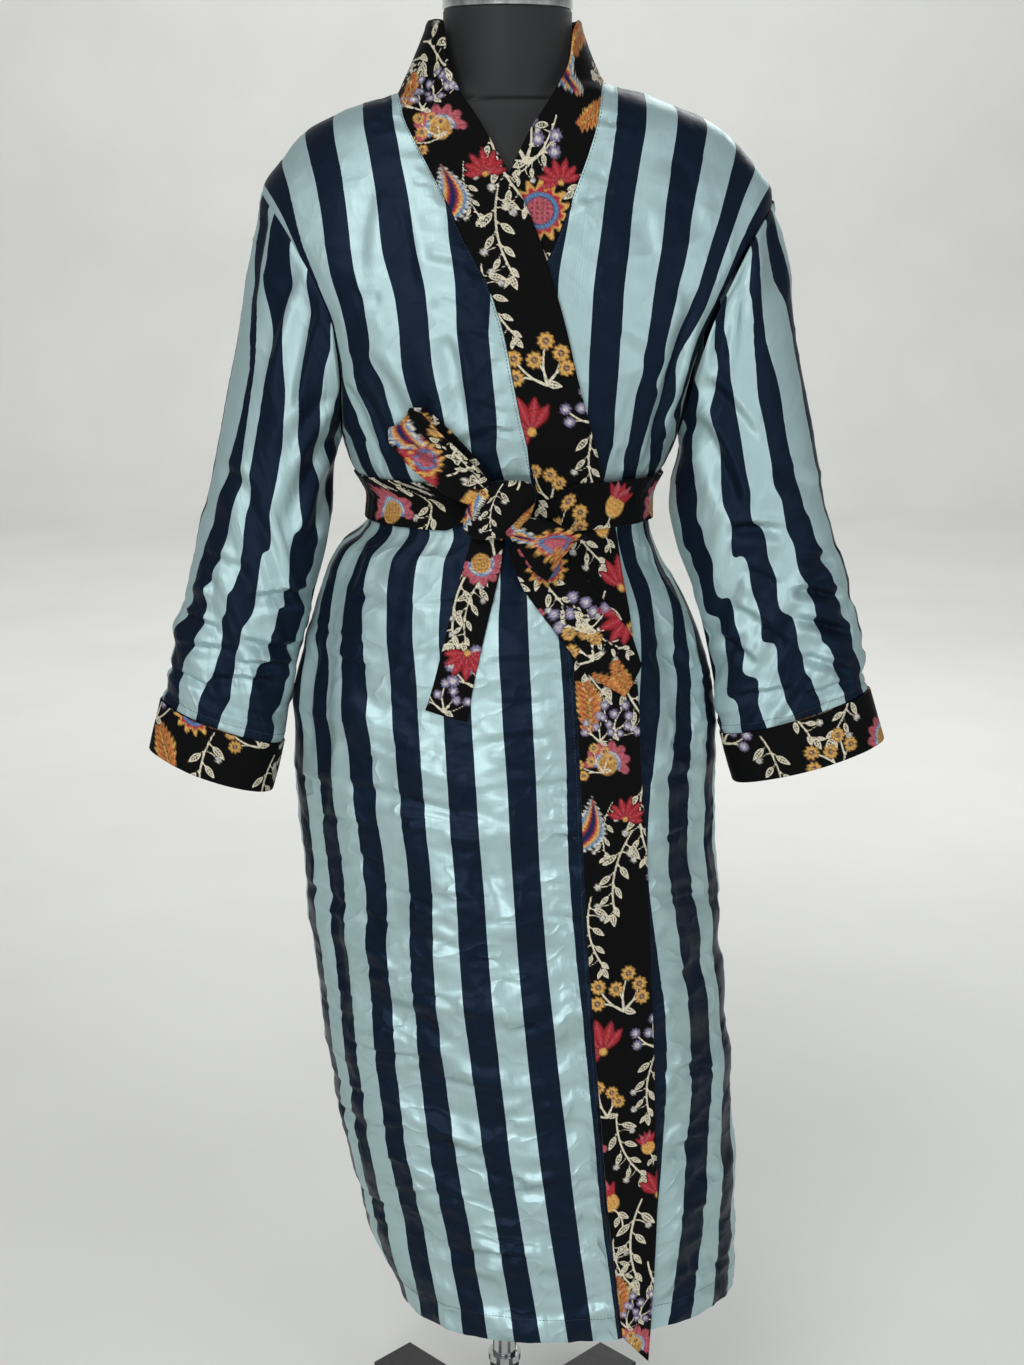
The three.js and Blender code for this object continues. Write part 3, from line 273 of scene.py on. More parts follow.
# %% Panel coordinates
TIP = {"right": 1338.0, "left": 1330.0}  # heights of the dropped shoulders' tips
SIGN = {"right": -1, "left": 1}  # the wearer's right is at -X
EDGE = {"right": "left", "left": "right"}  # the ring's column for that side
ARMHOLE_X = {side: curve(rows["z"], rows["x"]) for side, rows in ARMHOLE_ROWS.items()}
BAND, TUBE, CUFF = [{side: by_order(rows) for side, rows in tables.items()}
                    for tables in (BAND_ROWS, SLEEVE_ROWS, CUFF_ROWS)]
UNDERARM_ROW, LAST_ROW = 12, 26
LEVEL, TOP_LEVEL = BAND["right"]["seamZ"], 1423  # a row's height, and the first row's
SEAM_TURN = 0.2 / 150  # half a seam's gap, as a turn round the body


def drop(row):
    """Share of the way down from the shoulder to the underarm."""
    return np.clip((TOP_LEVEL - LEVEL(row)) / (TOP_LEVEL - UNDERARM), 0, 1)


def side_x(side, z):
    return robe_ring(z)[EDGE[side]]


def ridge_height(x, side):
    """Height of the shoulder's ridge at an x: where the ring is just that wide."""
    low, high = np.full(np.shape(x), 1320.0), np.full(np.shape(x), 1440.0)
    for _ in range(20):
        middle = (low + high) / 2
        wide = np.abs(side_x(side, middle)) > np.abs(x)
        low, high = np.where(wide, middle, low), np.where(wide, high, middle)
    return low


def armhole(side, row):
    z = mix(TIP[side], UNDERARM, drop(row))
    return bearing_at(ARMHOLE_X[side](z), z), z


def armhole_off(side, row):
    """How far the armhole stands off a line from the shoulder's tip to the underarm."""
    line = mix(side_x(side, TIP[side]), side_x(side, UNDERARM), drop(row))
    return ring_x(*armhole(side, row)) - line


def front_at(side, row, share):
    """Bearing and height of a point of a front."""
    sign, down = SIGN[side], drop(row)
    seam_x, seam_z = BAND[side]["seamX"], BAND[side]["seamZ"]
    corner = seam_x(0.0) + sign * 0.4
    top_x = mix(corner, side_x(side, TIP[side]), share)
    bow = ridge_height(top_x, side) - mix(seam_z(0.0), TIP[side], share)
    under = mix(bearing_at(seam_x(UNDERARM_ROW), UNDERARM), sign * QUARTER, share)
    seam_off = seam_x(row) - mix(corner, seam_x(UNDERARM_ROW), down)
    z = mix(seam_z(row), armhole(side, row)[1], share) + bow * (1 - down) ** 3
    x = mix(top_x, ring_x(under, UNDERARM), down) + mix(seam_off, armhole_off(side, row), share)
    low = mix(bearing_at(seam_x(row), seam_z(row)), sign * QUARTER, share)
    is_low = row >= UNDERARM_ROW
    return np.where(is_low, low, bearing_at(x, z)), np.where(is_low, seam_z(row), z)


def neck_height(share):
    """Height of the neck's seam at the back, from the wearer's right to the left."""
    return mix(BAND["right"]["seamZ"](0.0), BAND["left"]["seamZ"](0.0), share)


def back_at(row, share):
    """Bearing and height of a point of the back: share 0 is the wearer's right side seam. The neck
    takes the middle half of its top."""
    neck, down = np.clip((share - 0.25) * 2, 0, 1), drop(row)
    x_right = mix(side_x("right", TIP["right"]), BAND["right"]["seamX"](0.0), np.clip(share * 4, 0, 1))
    x_left = mix(BAND["left"]["seamX"](0.0), side_x("left", TIP["left"]), np.clip(share * 4 - 3, 0, 1))
    top_z = np.where(share < 0.25, ridge_height(x_right, "right"),
                     np.where(share > 0.75, ridge_height(x_left, "left"), neck_height(neck)))
    top_b, side_b = mix(3 * QUARTER, QUARTER, neck), mix(3 * QUARTER, QUARTER, share)
    off = 0
    for side, near in (("right", 1 - 2 * share), ("left", 2 * share - 1)):
        off = off + armhole_off(side, row) * np.clip(near, 0, 1) ** 2
    z = mix(top_z, UNDERARM, down)
    high = math.pi - bearing_at(mix(ring_x(top_b, top_z), ring_x(side_b, UNDERARM), down) + off, z)
    is_low = row >= UNDERARM_ROW
    return np.where(is_low, side_b, np.where(row <= 0, top_b, high)), np.where(is_low, LEVEL(row), z)


def lap(side, b, z):
    """The left front passes 5 mm inside the right one, in front and below the neck."""
    under = -5 if side == "left" else 0
    return under * (1 - smooth((np.degrees(b) - 50) / 32)) * smooth((1400 - z) / 45)


def even_rows(first, last, step):
    """Rows whose levels are about step millimetres apart."""
    fine = np.linspace(first, last, 4000)
    level = LEVEL(fine)
    count = int(round((level[0] - level[-1]) / step)) + 1
    return np.interp(np.linspace(level[0], level[-1], count), level[::-1], fine[::-1])


print("rows of a front:", len(even_rows(0, LAST_ROW, 6)))

# %% [markdown]
# ## Creases
# Satin shows every crease. Long ones pull from the armholes and the bust to the belt, short
# puckers run off the band's seam, and the sleeves bunch above the cuffs. Simulating this much
# cloth is slow and hard to steer, so each main crease is laid one by one: a line in millimetres
# seen from the front or the back, its bend, depth and half width. The cloth sinks along it and
# swells on both sides. Small ones that come in rows are scattered with a fixed seed.

# %% Crease tools
def creases(rows):
    return table("x1 z1 x2 z2 bend depth wide", rows)


def together(*tables):
    return {name: np.concatenate([t[name] for t in tables]) for name in tables[0]}


def crease_depth(points, lines):
    """How far the cloth moves out at each point, from creases seen along Y."""
    x, z = points[..., 0], points[..., 2]
    total = np.zeros(x.shape)
    for x1, z1, x2, z2, bend, depth, wide in zip(*lines.values()):
        long = math.hypot(x2 - x1, z2 - z1)
        ux, uz = (x2 - x1) / long, (z2 - z1) / long
        along = ((x - x1) * ux + (z - z1) * uz) / long
        bow = bend * (1 - (2 * np.clip(along, 0, 1) - 1) ** 2)
        away = (-(x - x1) * uz + (z - z1) * ux - bow) / wide
        away = np.where(away > 0, away * 1.5, away * 0.75)  # one bank is steeper than the other
        fade = smooth(along / 0.22) * smooth((1 - along) / 0.3)
        dip = np.exp(-away**2) - 0.5 * np.exp(-(np.abs(away) - 1.8) ** 2)
        total -= depth * fade * dip
    return total


def noise(u, v, seed):
    """Smooth noise from -1 to 1 with bumps about 1 apart, on any u and v."""
    values = np.random.default_rng(seed).uniform(-1, 1, (128, 128))
    iu, iv = np.floor(u).astype(int), np.floor(v).astype(int)
    fu, fv = smooth(u - iu), smooth(v - iv)
    near = [values[(iu + i) % 128, (iv + j) % 128] for i in (0, 1) for j in (0, 1)]
    return mix(mix(near[0], near[1], fv), mix(near[2], near[3], fv), fu)


def crumple(u, v, seed):
    """Thin ridges that wander and join, as in cloth that was packed: 0 between, 1 on them."""
    return (1 - np.abs(noise(u, v, seed))) ** 5


def drape(points, seed):
    """The satin's slow waves, wider than high, and finer ones on them."""
    z, across = points[..., 2], points[..., 0] + 0.6 * points[..., 1]
    slow = noise((across + 0.25 * z) / 62, (z - 0.3 * across) / 84, seed)
    small = noise((across - 0.3 * z) / 27, (z + 0.35 * across) / 19, seed + 1)
    ridges = crumple((across + 0.4 * z) / 70, (z - 0.2 * across) / 33, seed + 3)
    finer = crumple((across - 0.5 * z) / 36, (z + 0.3 * across) / 17, seed + 4)
    freer = 1 + 0.45 * smooth((1030 - z) / 260)  # below the belt nothing stretches the cloth
    level = noise((across + 0.3 * z) / 120, (z - 0.22 * across) / 40, seed + 6)
    waves = freer * (2.1 * slow + 0.85 * small + 1.1 * ridges + 0.45 * finer)
    return waves + 2.4 * (level * smooth((1010 - z) / 180))


def scattered(left, right, low, high, count, seed):
    """Creases at random places in a box of x and z, lying about level."""
    rng = np.random.default_rng(seed)
    rows = []
    for _ in range(count):
        x, z = rng.uniform(left, right), rng.uniform(low, high)
        length, rise = rng.uniform(30, 120), rng.normal(0, 0.2)
        bend, depth, wide = rng.uniform(-7, 7), rng.uniform(0.5, 1.5), rng.uniform(2.6, 5.5)
        rows.append([x - length / 2, z - length * rise / 2, x + length / 2, z + length * rise / 2,
                     bend, depth, wide])
    return creases(rows)


def seam_puckers(side, first_row, count, longs, depths, wides, seed):
    """Short creases that leave the band's seam, over 11 rows. Their lengths, depths and half
    widths are ranges."""
    rng = np.random.default_rng(seed)
    rows = []
    for row in first_row + 11 * np.sort(rng.uniform(0.01, 0.99, count)):
        x, z = BAND[side]["seamX"](row), BAND[side]["seamZ"](row)
        length, slope = rng.uniform(*longs), rng.normal(0, 0.22)
        rows.append([x, z, x + SIGN[side] * length, z + slope * length, rng.uniform(-2, 2),
                     rng.uniform(*depths), rng.uniform(*wides)])
    return creases(rows)


def gather(b, z, seed):
    """Irregular small pleats under and over the belt, fading with distance from it."""
    turn = np.degrees(b)
    pleat = noise(turn / 5.2 + 40, z / 260, seed) + 0.6 * noise(turn / 2.7 + 90, z / 190, seed + 1)
    below, above = np.exp(-(BELT_BOTTOM - z) / 62), np.exp(-(z - BELT_TOP) / 46)
    return 2.3 * pleat * np.where(z < WAIST, np.minimum(below, 1), np.minimum(above, 1))


across_one = crease_depth(np.array([(x, 0, 0) for x in (-8, -4, 0, 4, 8)]), creases("0 -60 0 60 0 2 4"))
print("the cloth's moves across a crease, mm:", across_one.round(1))

# %% [markdown]
# ## Cloth shells
# Real satin is about half a millimetre thick, and the double layers of this robe about one. Each
# panel is a grid of points on the outer face and the same grid a wall further in, closed round
# its rim, so that hems and cuffs show their thickness. Two numbers ride along on every point as
# UV: which stripe it is in, and how far down the cloth it lies.

# %% Shell builder
SATIN, VELVET = 1.2, 2.4  # walls, millimetres


def grid(rows, columns):
    return np.meshgrid(rows, columns, indexing="ij")


def closed(a):
    """A grid round a tube, with its first column again as its last one."""
    return np.concatenate([a, a[:, :1]], 1)


def run_length(points, axis=0):
    """Distance along the cloth from its first row or column, millimetres."""
    step = np.linalg.norm(np.diff(points, axis=axis), axis=-1)
    return np.insert(np.cumsum(step, axis), 0, 0, axis)


def grid_normals(points, toward, around=False):
    """Normals of a grid, turned the way that `toward` points."""
    along = np.roll(points, -1, 1) - np.roll(points, 1, 1) if around else np.gradient(points, axis=1)
    n = unit(np.cross(np.gradient(points, axis=0), along))
    return n if (n * toward).sum() > 0 else -n


def rounded(distance, radius):
    """Half thickness near a rolled edge, as a share: 0 at the edge, 1 from radius inward."""
    return np.sqrt(np.clip(1 - (1 - np.clip(distance / radius, 0, 1)) ** 2, 0.04, 1))


def make_object(name, points, faces, uv=None, uv_faces=None, colour=None):
    """A smooth-shaded mesh from millimetres. Faces and uv_faces are lists of corner numbers;
    colour has three numbers of ink and four of twigs and leaves for each point."""
    mesh = bpy.data.meshes.new(name)
    mesh.from_pydata((points / 1000).tolist(), [], faces)
    mesh.polygons.foreach_set("use_smooth", np.ones(len(faces), bool))
    if uv is not None:
        corners = uv[[i for face in uv_faces for i in face]]
        mesh.uv_layers.new(name="UVMap").uv.foreach_set("vector", corners.astype(np.float32).ravel())
    if colour is not None:
        inks = np.concatenate([colour[:, :3], np.ones((len(colour), 1))], 1)
        for layer, values in (("print", inks), ("twigs", colour[:, 3:])):
            place = mesh.color_attributes.new(layer, "FLOAT_COLOR", "POINT")
            place.data.foreach_set("color", values.astype(np.float32).ravel())
    mesh.update()
    mesh.set_sharp_from_angle(angle=math.radians(50))
    print(name, "triangles", sum(len(face) - 2 for face in faces))
    return in_scene(name, mesh)


def every_other(count):
    """0, 2, 4 ... and always the last one."""
    picked = np.arange(0, count, 2)
    return picked if picked[-1] == count - 1 else np.append(picked, count - 1)


def grid_quads(index):
    corners = [index[:-1, :-1], index[1:, :-1], index[1:, 1:], index[:-1, 1:]]
    return np.stack(corners, -1).reshape(-1, 4).tolist()


def rim(fine, coarse, picked):
    """Faces between a line of the outer face and the coarser line of the inner face."""
    return [[*map(int, fine[a:b + 1]), int(coarse[i + 1]), int(coarse[i])]
            for i, (a, b) in enumerate(zip(picked[:-1], picked[1:]))]


def wall_faces(outer, inner, rows, columns, around):
    """All faces of a wall: both sides and the rims, wound the same way."""
    faces = grid_quads(outer) + grid_quads(inner[:, ::-1])
    back_rows, back_columns = len(outer) - 1 - rows[::-1], len(outer[0]) - 1 - columns[::-1]
    faces += rim(outer[0], inner[0], columns)
    faces += rim(outer[-1, ::-1], inner[-1, ::-1], back_columns)
    if not around:
        faces += rim(outer[::-1, 0], inner[::-1, 0], back_rows)
        faces += rim(outer[:, -1], inner[:, -1], rows)
    return faces


def lowest_near(move, around):
    """The lowest value within two grid steps, so that a coarse inner face fits under."""
    low = np.pad(move, ((2, 2), (0, 0)), "edge")
    low = np.pad(low, ((0, 0), (2, 2)), "wrap" if around else "edge")
    rows, columns = move.shape
    return np.min([low[i:i + rows, j:j + columns] for i in range(5) for j in range(5)], 0)


def shell(name, flat, n, move, wall, uv, colour=None, around=False, half=1.0):
    """A closed wall of cloth: the outer face is flat moved along n; the inner one has half its
    points each way. Round a tube, uv has one column more than the points have, because the
    cloth's two edges meet there."""
    rows, columns = every_other(move.shape[0]), every_other(uv.shape[1])
    picked = columns[:-1] if around else columns
    outer = flat + n * (move - wall / 2 * (1 - half))[..., None]
    under = flat + n * (lowest_near(move, around) - wall / 2 * (1 + half))[..., None]
    outer_index = np.arange(move.size).reshape(move.shape)
    under_index = move.size + np.arange(len(rows) * len(picked)).reshape(len(rows), len(picked))
    if around:
        outer_index, under_index = closed(outer_index), closed(under_index)
    uv_index = np.arange(uv[..., 0].size).reshape(uv.shape[:2])
    faces = wall_faces(outer_index, under_index, rows, columns, around)
    uv_faces = wall_faces(uv_index, uv_index[rows][:, columns], rows, columns, around)
    down, along = outer[1, 1] - outer[0, 1], outer[1, 2] - outer[1, 1]
    if np.dot(np.cross(down, along), n[1, 1]) < 0:
        faces, uv_faces = [f[::-1] for f in faces], [f[::-1] for f in uv_faces]
    points = np.concatenate([outer.reshape(-1, 3), under[rows][:, picked].reshape(-1, 3)])
    if colour is not None:
        colour = np.concatenate([colour.reshape(-1, 7), colour[rows][:, picked].reshape(-1, 7)])
    return make_object(name, points, faces, uv.reshape(-1, 2), uv_faces, colour)


print("walls, mm: satin", SATIN, "velvet", VELVET)

# %% [markdown]
# ## Stripes
# The stripes are woven along the cloth, 30 mm wide, navy and pale blue by turns. On the robe they
# bend with the cut and hide in folds, so their edges are charted like a pattern piece: a row for
# each height, and in it the share of the way across the panel at which each edge lies. Between
# the charted rows the edges run smoothly. The shader then only has to ask whether a point's
# stripe number is even.

# %% Stripe charts
STRIPE = 30.0  # millimetres


def chart(first_edge, text):
    """The first edge's number, the rows charted, and every edge's share there. A row's own number
    comes first in it."""
    rows = rows_of(text)
    return first_edge, rows[:, 0], rows[:, 1:]


FRONT_STRIPES = {"right": chart(-1, """
    0 -.56 -.36 -.16 .04 .245 .453 .66 .84 .98 1.12 1.26 1.4
    2 -.54 -.34 -.14 .066 .266 .476 .676 .855 .968 1.08 1.2 1.32
    4 -.43 -.245 -.06 .133 .319 .527 .717 .919 .985 1.06 1.15 1.25
    6 -.26 -.1 .069 .235 .421 .632 .827 .985 1.04 1.1 1.17 1.24
    8 -.05 .051 .164 .283 .43 .609 .789 .95 1 1.05 1.1 1.15
    10 -.02 .063 .155 .24 .352 .467 .605 .72 .9 .96 1.02 1.08
    12 0 .08 .158 .231 .304 .424 .535 .625 .72 .81 .9 .97
    14 .02 .095 .168 .25 .34 .445 .545 .645 .74 .82 .9 .97
    16 .03 .105 .172 .245 .325 .415 .51 .61 .72 .81 .89 .96
    17 .032 .107 .168 .238 .31 .387 .474 .569 .683 .775 .86 .94
    18 .031 .104 .159 .217 .281 .348 .426 .507 .603 .69 .765 .85
    20 .036 .103 .158 .209 .27 .328 .391 .464 .536 .628 .711 .79
    22 .025 .097 .16 .217 .286 .36 .428 .498 .565 .643 .71 .8
    24 .019 .086 .154 .221 .286 .365 .442 .52 .59 .683 .76 .84
    26 .015 .084 .15 .215 .285 .36 .435 .52 .605 .7 .78 .86"""),
    "left": chart(0, """
    0 .075 .23 .4 .585 .75 .875 .97 1.08; 2 .092 .251 .425 .598 .773 .88 .96 1.06
    4 .114 .26 .436 .61 .784 .89 .965 1.05; 6 .175 .317 .49 .645 .78 .892 .969 1.05
    8 .268 .403 .531 .64 .725 .79 .87 .98; 10 .305 .425 .512 .6 .677 .75 .82 .9
    12 .32 .435 .508 .582 .66 .74 .82 .9; 14 .38 .5 .625 .722 .83 .91 .97 1.04
    16 .37 .49 .62 .727 .85 .93 .99 1.05; 18 .33 .42 .51 .598 .702 .785 .85 .92
    20 .28 .362 .445 .525 .618 .742 .83 .89; 22 .32 .405 .49 .581 .69 .8 .86 .94
    24 .28 .37 .455 .53 .615 .724 .812 .89; 26 .26 .35 .41 .485 .56 .64 .74 .84""")}
# On a sleeve the shares are places round it: 0 at its outer side and 12 underarm.
SLEEVE_STRIPES = {"right": chart(-2, """
    0 -.8 .1 1 1.9 2.3 4 5 6.7 8.6 10.3 12.1; 1 -.8 .3 1.2 1.9 2.5 4.13 5.36 6.9 8.8 10.5 12.2
    2 -1 .7 2.2 2.7 3.85 4.75 5.92 8 9.5 11 12.4; 3 -1 .9 3.1 3.5 4.4 5.95 6.95 8.84 10.2 11.5 12.8
    4 -.9 1.1 3.35 3.97 4.72 6.5 7.83 9.3 10.8 12 13.2; 5 -.7 1 3 4.2 4.85 6.54 8.15 9.64 11.2 12.5 13.8
    6 -.9 .7 2.47 3.97 5.1 6.55 8.32 9.9 11.5 13 14.4
    7 -1.3 .4 2.1 3.7 5.2 6.54 8.35 10.05 11.7 13.2 14.7
    8 -1.6 .1 1.8 3.6 5.3 6.58 8.16 10.1 11.7 13.2 14.7
    9 -2.2 -.5 1.15 3.25 5 6.35 7.95 10.1 11.8 13.3 14.8
    10 -2.5 -.6 1.1 3.1 4.6 6 7.6 9.8 11.6 13.2 14.8"""),
    "left": chart(-1, """
    0 .2 1.5 2.2 3.3 3.9 5.7 6.5 8.4 10.2 12; 1 -.2 1.31 2.18 3.47 4.1 5.86 6.65 8.58 10.4 12.2
    2 -.7 .82 1.7 3.76 4.61 6.21 7.85 9.6 11.2 12.8; 3 -.9 .75 1.62 3.62 4.98 6.29 7.57 9.29 11.2 12.9
    4 -.9 .9 1.75 3.8 4.94 6.25 7.54 9 10.75 12.46; 5 -.8 .8 1.6 3.55 4.78 6.08 7.38 8.8 10.3 12.3
    6 -1.2 .6 1.4 3.32 4.66 6.02 7.22 8.78 10.2 12.2; 7 -1.5 .3 1.22 2.95 4.56 6.02 7.33 9 10.2 12
    8 -1.9 -.2 1 2.4 4.32 5.6 7 8.55 9.8 11.7; 9 -2.3 -.6 .6 1.95 3.75 5.2 6.6 8.1 9.5 11.3
    10 -2.7 -1 .4 1.7 3.4 4.8 6.2 7.7 9.2 11""")}


def stripe_number(stripes, rows, across):
    """Stripe number of each point; rows is one value per line, across its shares."""
    first, charted, shares = stripes
    edges = np.stack([curve(charted, column)(rows) for column in shares.T], 1)
    numbers = first + np.arange(edges.shape[1])
    out = np.empty(across.shape)
    for i, (edge, line) in enumerate(zip(edges, across)):
        ahead = numbers[-1] + (line - edge[-1]) / (edge[-1] - edge[-2])
        behind = numbers[0] - (edge[0] - line) / (edge[1] - edge[0])
        inside = np.interp(line, edge, numbers)
        out[i] = np.where(line > edge[-1], ahead, np.where(line < edge[0], behind, inside))
    return out


print("charted stripe edges:", len(FRONT_STRIPES["right"][2][0]), "on the right front")

# %% [markdown]
# ## The printed velvet
# The band, cuffs and belt are cut from one printed velvet: a black ground with cream sprays of
# leaves and scattered garden flowers. A print repeats, so one tile of it is laid out here, and
# every piece is cut from its own place in the cloth. Each motif is painted on the points of the
# grid by its distance from simple shapes such as pointed ovals and circles. Twigs and leaves are
# finer than the grid: for them each point keeps its distances from the leaf's edge and rib, and
# the velvet's shader draws the lines. The flowers are plain garden kinds in a layout of their own.

# %% Print colours and shapes
def linear(*srgb):
    c = np.array(srgb, float) / 255
    return np.where(c <= 0.04045, c / 12.92, ((c + 0.055) / 1.055) ** 2.4)


INK = {name: linear(*rgb) for name, rgb in {
    "black": (4, 4, 5), "cream": (216, 208, 184), "yellow": (212, 164, 90), "amber": (190, 108, 60),
    "red": (168, 46, 54), "wine": (84, 20, 30), "pink": (180, 92, 102), "lilac": (132, 124, 156),
    "blue": (88, 128, 168), "navy": (28, 38, 76), "white": (222, 218, 204)}.items()}
TILE = np.array([232.0, 610.0])  # the repeat, millimetres across and down the cloth
SOFT = 1.3  # width of an edge's blur in the pile, millimetres
AWAY = -3  # kept where there is no leaf or twig


def cover(inside):
    """1 inside a shape, 0 outside; inside is the distance from its edge, millimetres."""
    return np.clip(inside / SOFT + 0.5, 0, 1)


def lay(colour, ink, inside, *shares):
    """Paints an ink inside a shape, as far as the shares let it."""
    amount = cover(inside)
    for share in shares:
        amount = amount * share
    colour[:, :3] += (INK[ink] - colour[:, :3]) * amount[:, None]
    hidden = amount > 0.5  # twigs and leaves go under what is painted later
    colour[hidden, 3], colour[hidden, 6] = AWAY, AWAY


def turned(x, y, degrees, at=(0, 0)):
    c, s = math.cos(math.radians(degrees)), math.sin(math.radians(degrees))
    x, y = x - at[0], y - at[1]
    return x * c + y * s, y * c - x * s


def oval(x, y, long, wide, shoulder):
    """Distance inside a pointed oval that starts at the origin and runs along x."""
    t = np.clip(x / long, 0, 1)
    beyond = np.maximum(np.maximum(-x, x - long), 0)
    return wide / 2 * np.sin(math.pi * t**shoulder) - np.abs(y) - 3 * beyond


def dots(x, y, pitch):
    """Distance from the nearest of a square net of dots."""
    return np.hypot((x + 40) % pitch - pitch / 2, (y + 40) % pitch - pitch / 2)


def leaf(colour, x, y, long, wide):
    """A leaf: distances inside its edge, along its slanting veins and from its rib."""
    inside = oval(x, y, long, wide, 0.8)
    nearer = inside > colour[:, 3]
    colour[nearer, 3:6] = np.stack([inside, x - np.abs(y) * 0.9, np.abs(y)], -1)[nearer]


def stem(colour, x, y, start, end, bend, thick):
    """A curved line along x from start to end."""
    t = np.clip((x - start) / (end - start), 0, 1)
    beyond = np.maximum(np.maximum(start - x, x - end), 0)
    inside = thick / 2 - np.abs(y - bend * 4 * t * (1 - t)) - beyond
    colour[:, 6] = np.maximum(colour[:, 6], inside)


def daisy(colour, x, y, radius, petals, ink, heart, turn):
    far, angle = np.hypot(x, y), np.arctan2(y, x) + turn
    lay(colour, ink, radius * (0.6 + 0.4 * np.abs(np.cos(petals * angle / 2)) ** 0.7) - far)
    lay(colour, heart, radius * 0.4 - far)
    lay(colour, ink, radius * 0.16 - far)


print("inks:", *INK)

# %% Motifs
def spray(colour, x, y):
    """A bent twig with side shoots: pointed leaves along it, small berries at some tips."""
    bend = 9
    stem(colour, x, y, -44, 34, bend, 1.9)
    for i, at in enumerate((-34, -25, -15, -6, 4, 13, 22, 30)):
        t = (at + 44) / 78
        foot = (at, bend * 4 * t * (1 - t))
        side = 1 if i % 2 else -1
        u, v = turned(x, y, side * (50 - 3 * i), foot)
        stem(colour, u, v, 0, 7, 0.6, 1.2)
        leaf(colour, u - 5, v, 18 - i, 6.8 - 0.35 * i)
        if i in (1, 4, 6):
            u, v = turned(x, y, -side * 66, foot)
            stem(colour, u, v, 0, 13, -1.5, 1.2)
            daisy(colour, u - 15, v, 3.0, 6, "white", "lilac", i)
    leaf(colour, *turned(x, y, -20, (33, 3)), 14, 6)


def posy(colour, x, y, ink="yellow", heart="navy", radius=6.5, count=6):
    """Small daisies on stems that fan out of one foot."""
    leaf(colour, *turned(x, y, 118, (-18, 0)), 13, 6)
    for i in range(count):
        angle = math.radians(-62 + 124 * i / (count - 1))
        reach = (25, 33, 22, 34, 27, 20, 30)[i]
        u, v = turned(x, y, math.degrees(angle), (-20, 0))
        stem(colour, u, v, 0, reach, (-1) ** i * 2.5, 1.6)
        centre = (-20 + reach * math.cos(angle), reach * math.sin(angle))
        daisy(colour, x - centre[0], y - centre[1], radius, 9, ink, heart, i)


def lilacs(colour, x, y):
    posy(colour, x, y, "lilac", "white", 5.4, 7)


def bell(colour, x, y):
    """A dotted cup with a fringe of red petals."""
    for i in range(5):
        u, v = turned(x, y, -44 + 22 * i, (3, 0))
        lay(colour, ("red", "pink")[i % 2], oval(u, v, 22, 8, 0.7))
    lay(colour, "yellow", 10 - np.hypot(x * 0.9, y), x < 6)
    lay(colour, "amber", 1.0 - dots(x, y, 4.2), np.hypot(x, y) < 8.5, x < 5)
    stem(colour, x, y, -32, -9, 3, 1.8)
    leaf(colour, *turned(x, y, 148, (-15, 2)), 15, 7)
    leaf(colour, *turned(x, y, 222, (-20, 1)), 13, 6)


def lily(colour, x, y):
    """A wide red flower of long pointed petals."""
    for angle in (-84, 84, -58, 58, -30, 30, 0):
        u, v = turned(x, y, angle, (-14, 0))
        inside = oval(u, v, 26 + 7 * math.cos(math.radians(angle)), 9.5, 1.25)
        lay(colour, "red", inside)
        lay(colour, "pink", 0.5 - np.abs(v), cover(inside - 1), 0.8)
        lay(colour, "wine", 0.45 - np.abs(inside - 0.9), 0.6)
    lay(colour, "yellow", 3.5 - np.hypot(x + 14, y))


def half_sun(colour, x, y):
    """A half-open round flower: scaled heart, blue ring, notched pink rays."""
    far, angle = np.hypot(x + 6, y), np.arctan2(y, x + 6)
    front = np.abs(angle) < 1.9
    rays = 17 + 5.5 * np.abs(np.cos(angle * 5.5))
    lay(colour, "pink", rays - far, front)
    notch = 0.6 - np.abs(np.sin(angle * 5.5)) * far * 0.18
    lay(colour, "wine", notch, far > 12, far < rays, front, 0.6)
    lay(colour, "blue", 13 - far, front)
    lay(colour, "white", 1.0 - np.hypot(far - 11.4, ((angle * 14) % 2 - 1) * 2.2), front)
    lay(colour, "yellow", 9.6 - far)
    lay(colour, "wine", 0.5 - np.abs(np.sin(x * 0.95) * np.sin(y * 0.95)), far < 8.6, 0.7)


def fern(colour, x, y):
    """A curved frond of narrow leaflets, yellow at their tips and red at their feet."""
    lay(colour, "yellow", 0.9 - np.abs(y - 6 * np.cos(x / 22)), np.abs(x) < 24)
    for at in np.linspace(-22, 20, 8):
        for side in (-1, 1):
            u, v = turned(x, y, side * 48, (at, 6 * math.cos(at / 22)))
            inside = oval(u, v, 19 - 0.4 * abs(at + 4), 4.9, 0.9)
            lay(colour, "yellow", inside)
            lay(colour, "amber", inside - 0.4, u < 12)
            lay(colour, "wine", 0.4 - np.abs(v), cover(inside), u < 9)


def plume(colour, x, y):
    """A long curled petal: toothed white edge, then blue, yellow and red bands and a navy core."""
    y = y - 9 * np.cos(x / 15)
    for ink, wide, tooth in (("white", 30, 1.8), ("blue", 25, 0.9), ("yellow", 18, 0.6),
                             ("red", 11, 0.5), ("navy", 6, 0)):
        lay(colour, ink, oval(x + 27, y, 56, wide, 0.8) + tooth * np.cos(x * 1.7))


def medallion(colour, x, y):
    """A round flower of rings: yellow rays, red and blue collars, a dotted pink heart."""
    far, scallop = np.hypot(x, y), np.cos(np.arctan2(y, x) * 14)
    lay(colour, "yellow", 21 + 3.5 * scallop - far)
    lay(colour, "red", 17.5 + 1.5 * scallop - far)
    lay(colour, "navy", 14.6 - far)
    lay(colour, "blue", 1.5 - np.abs(far - 12.9))
    lay(colour, "pink", 10.4 - far)
    lay(colour, "wine", 0.95 - dots(x, y, 4), far < 9.4)


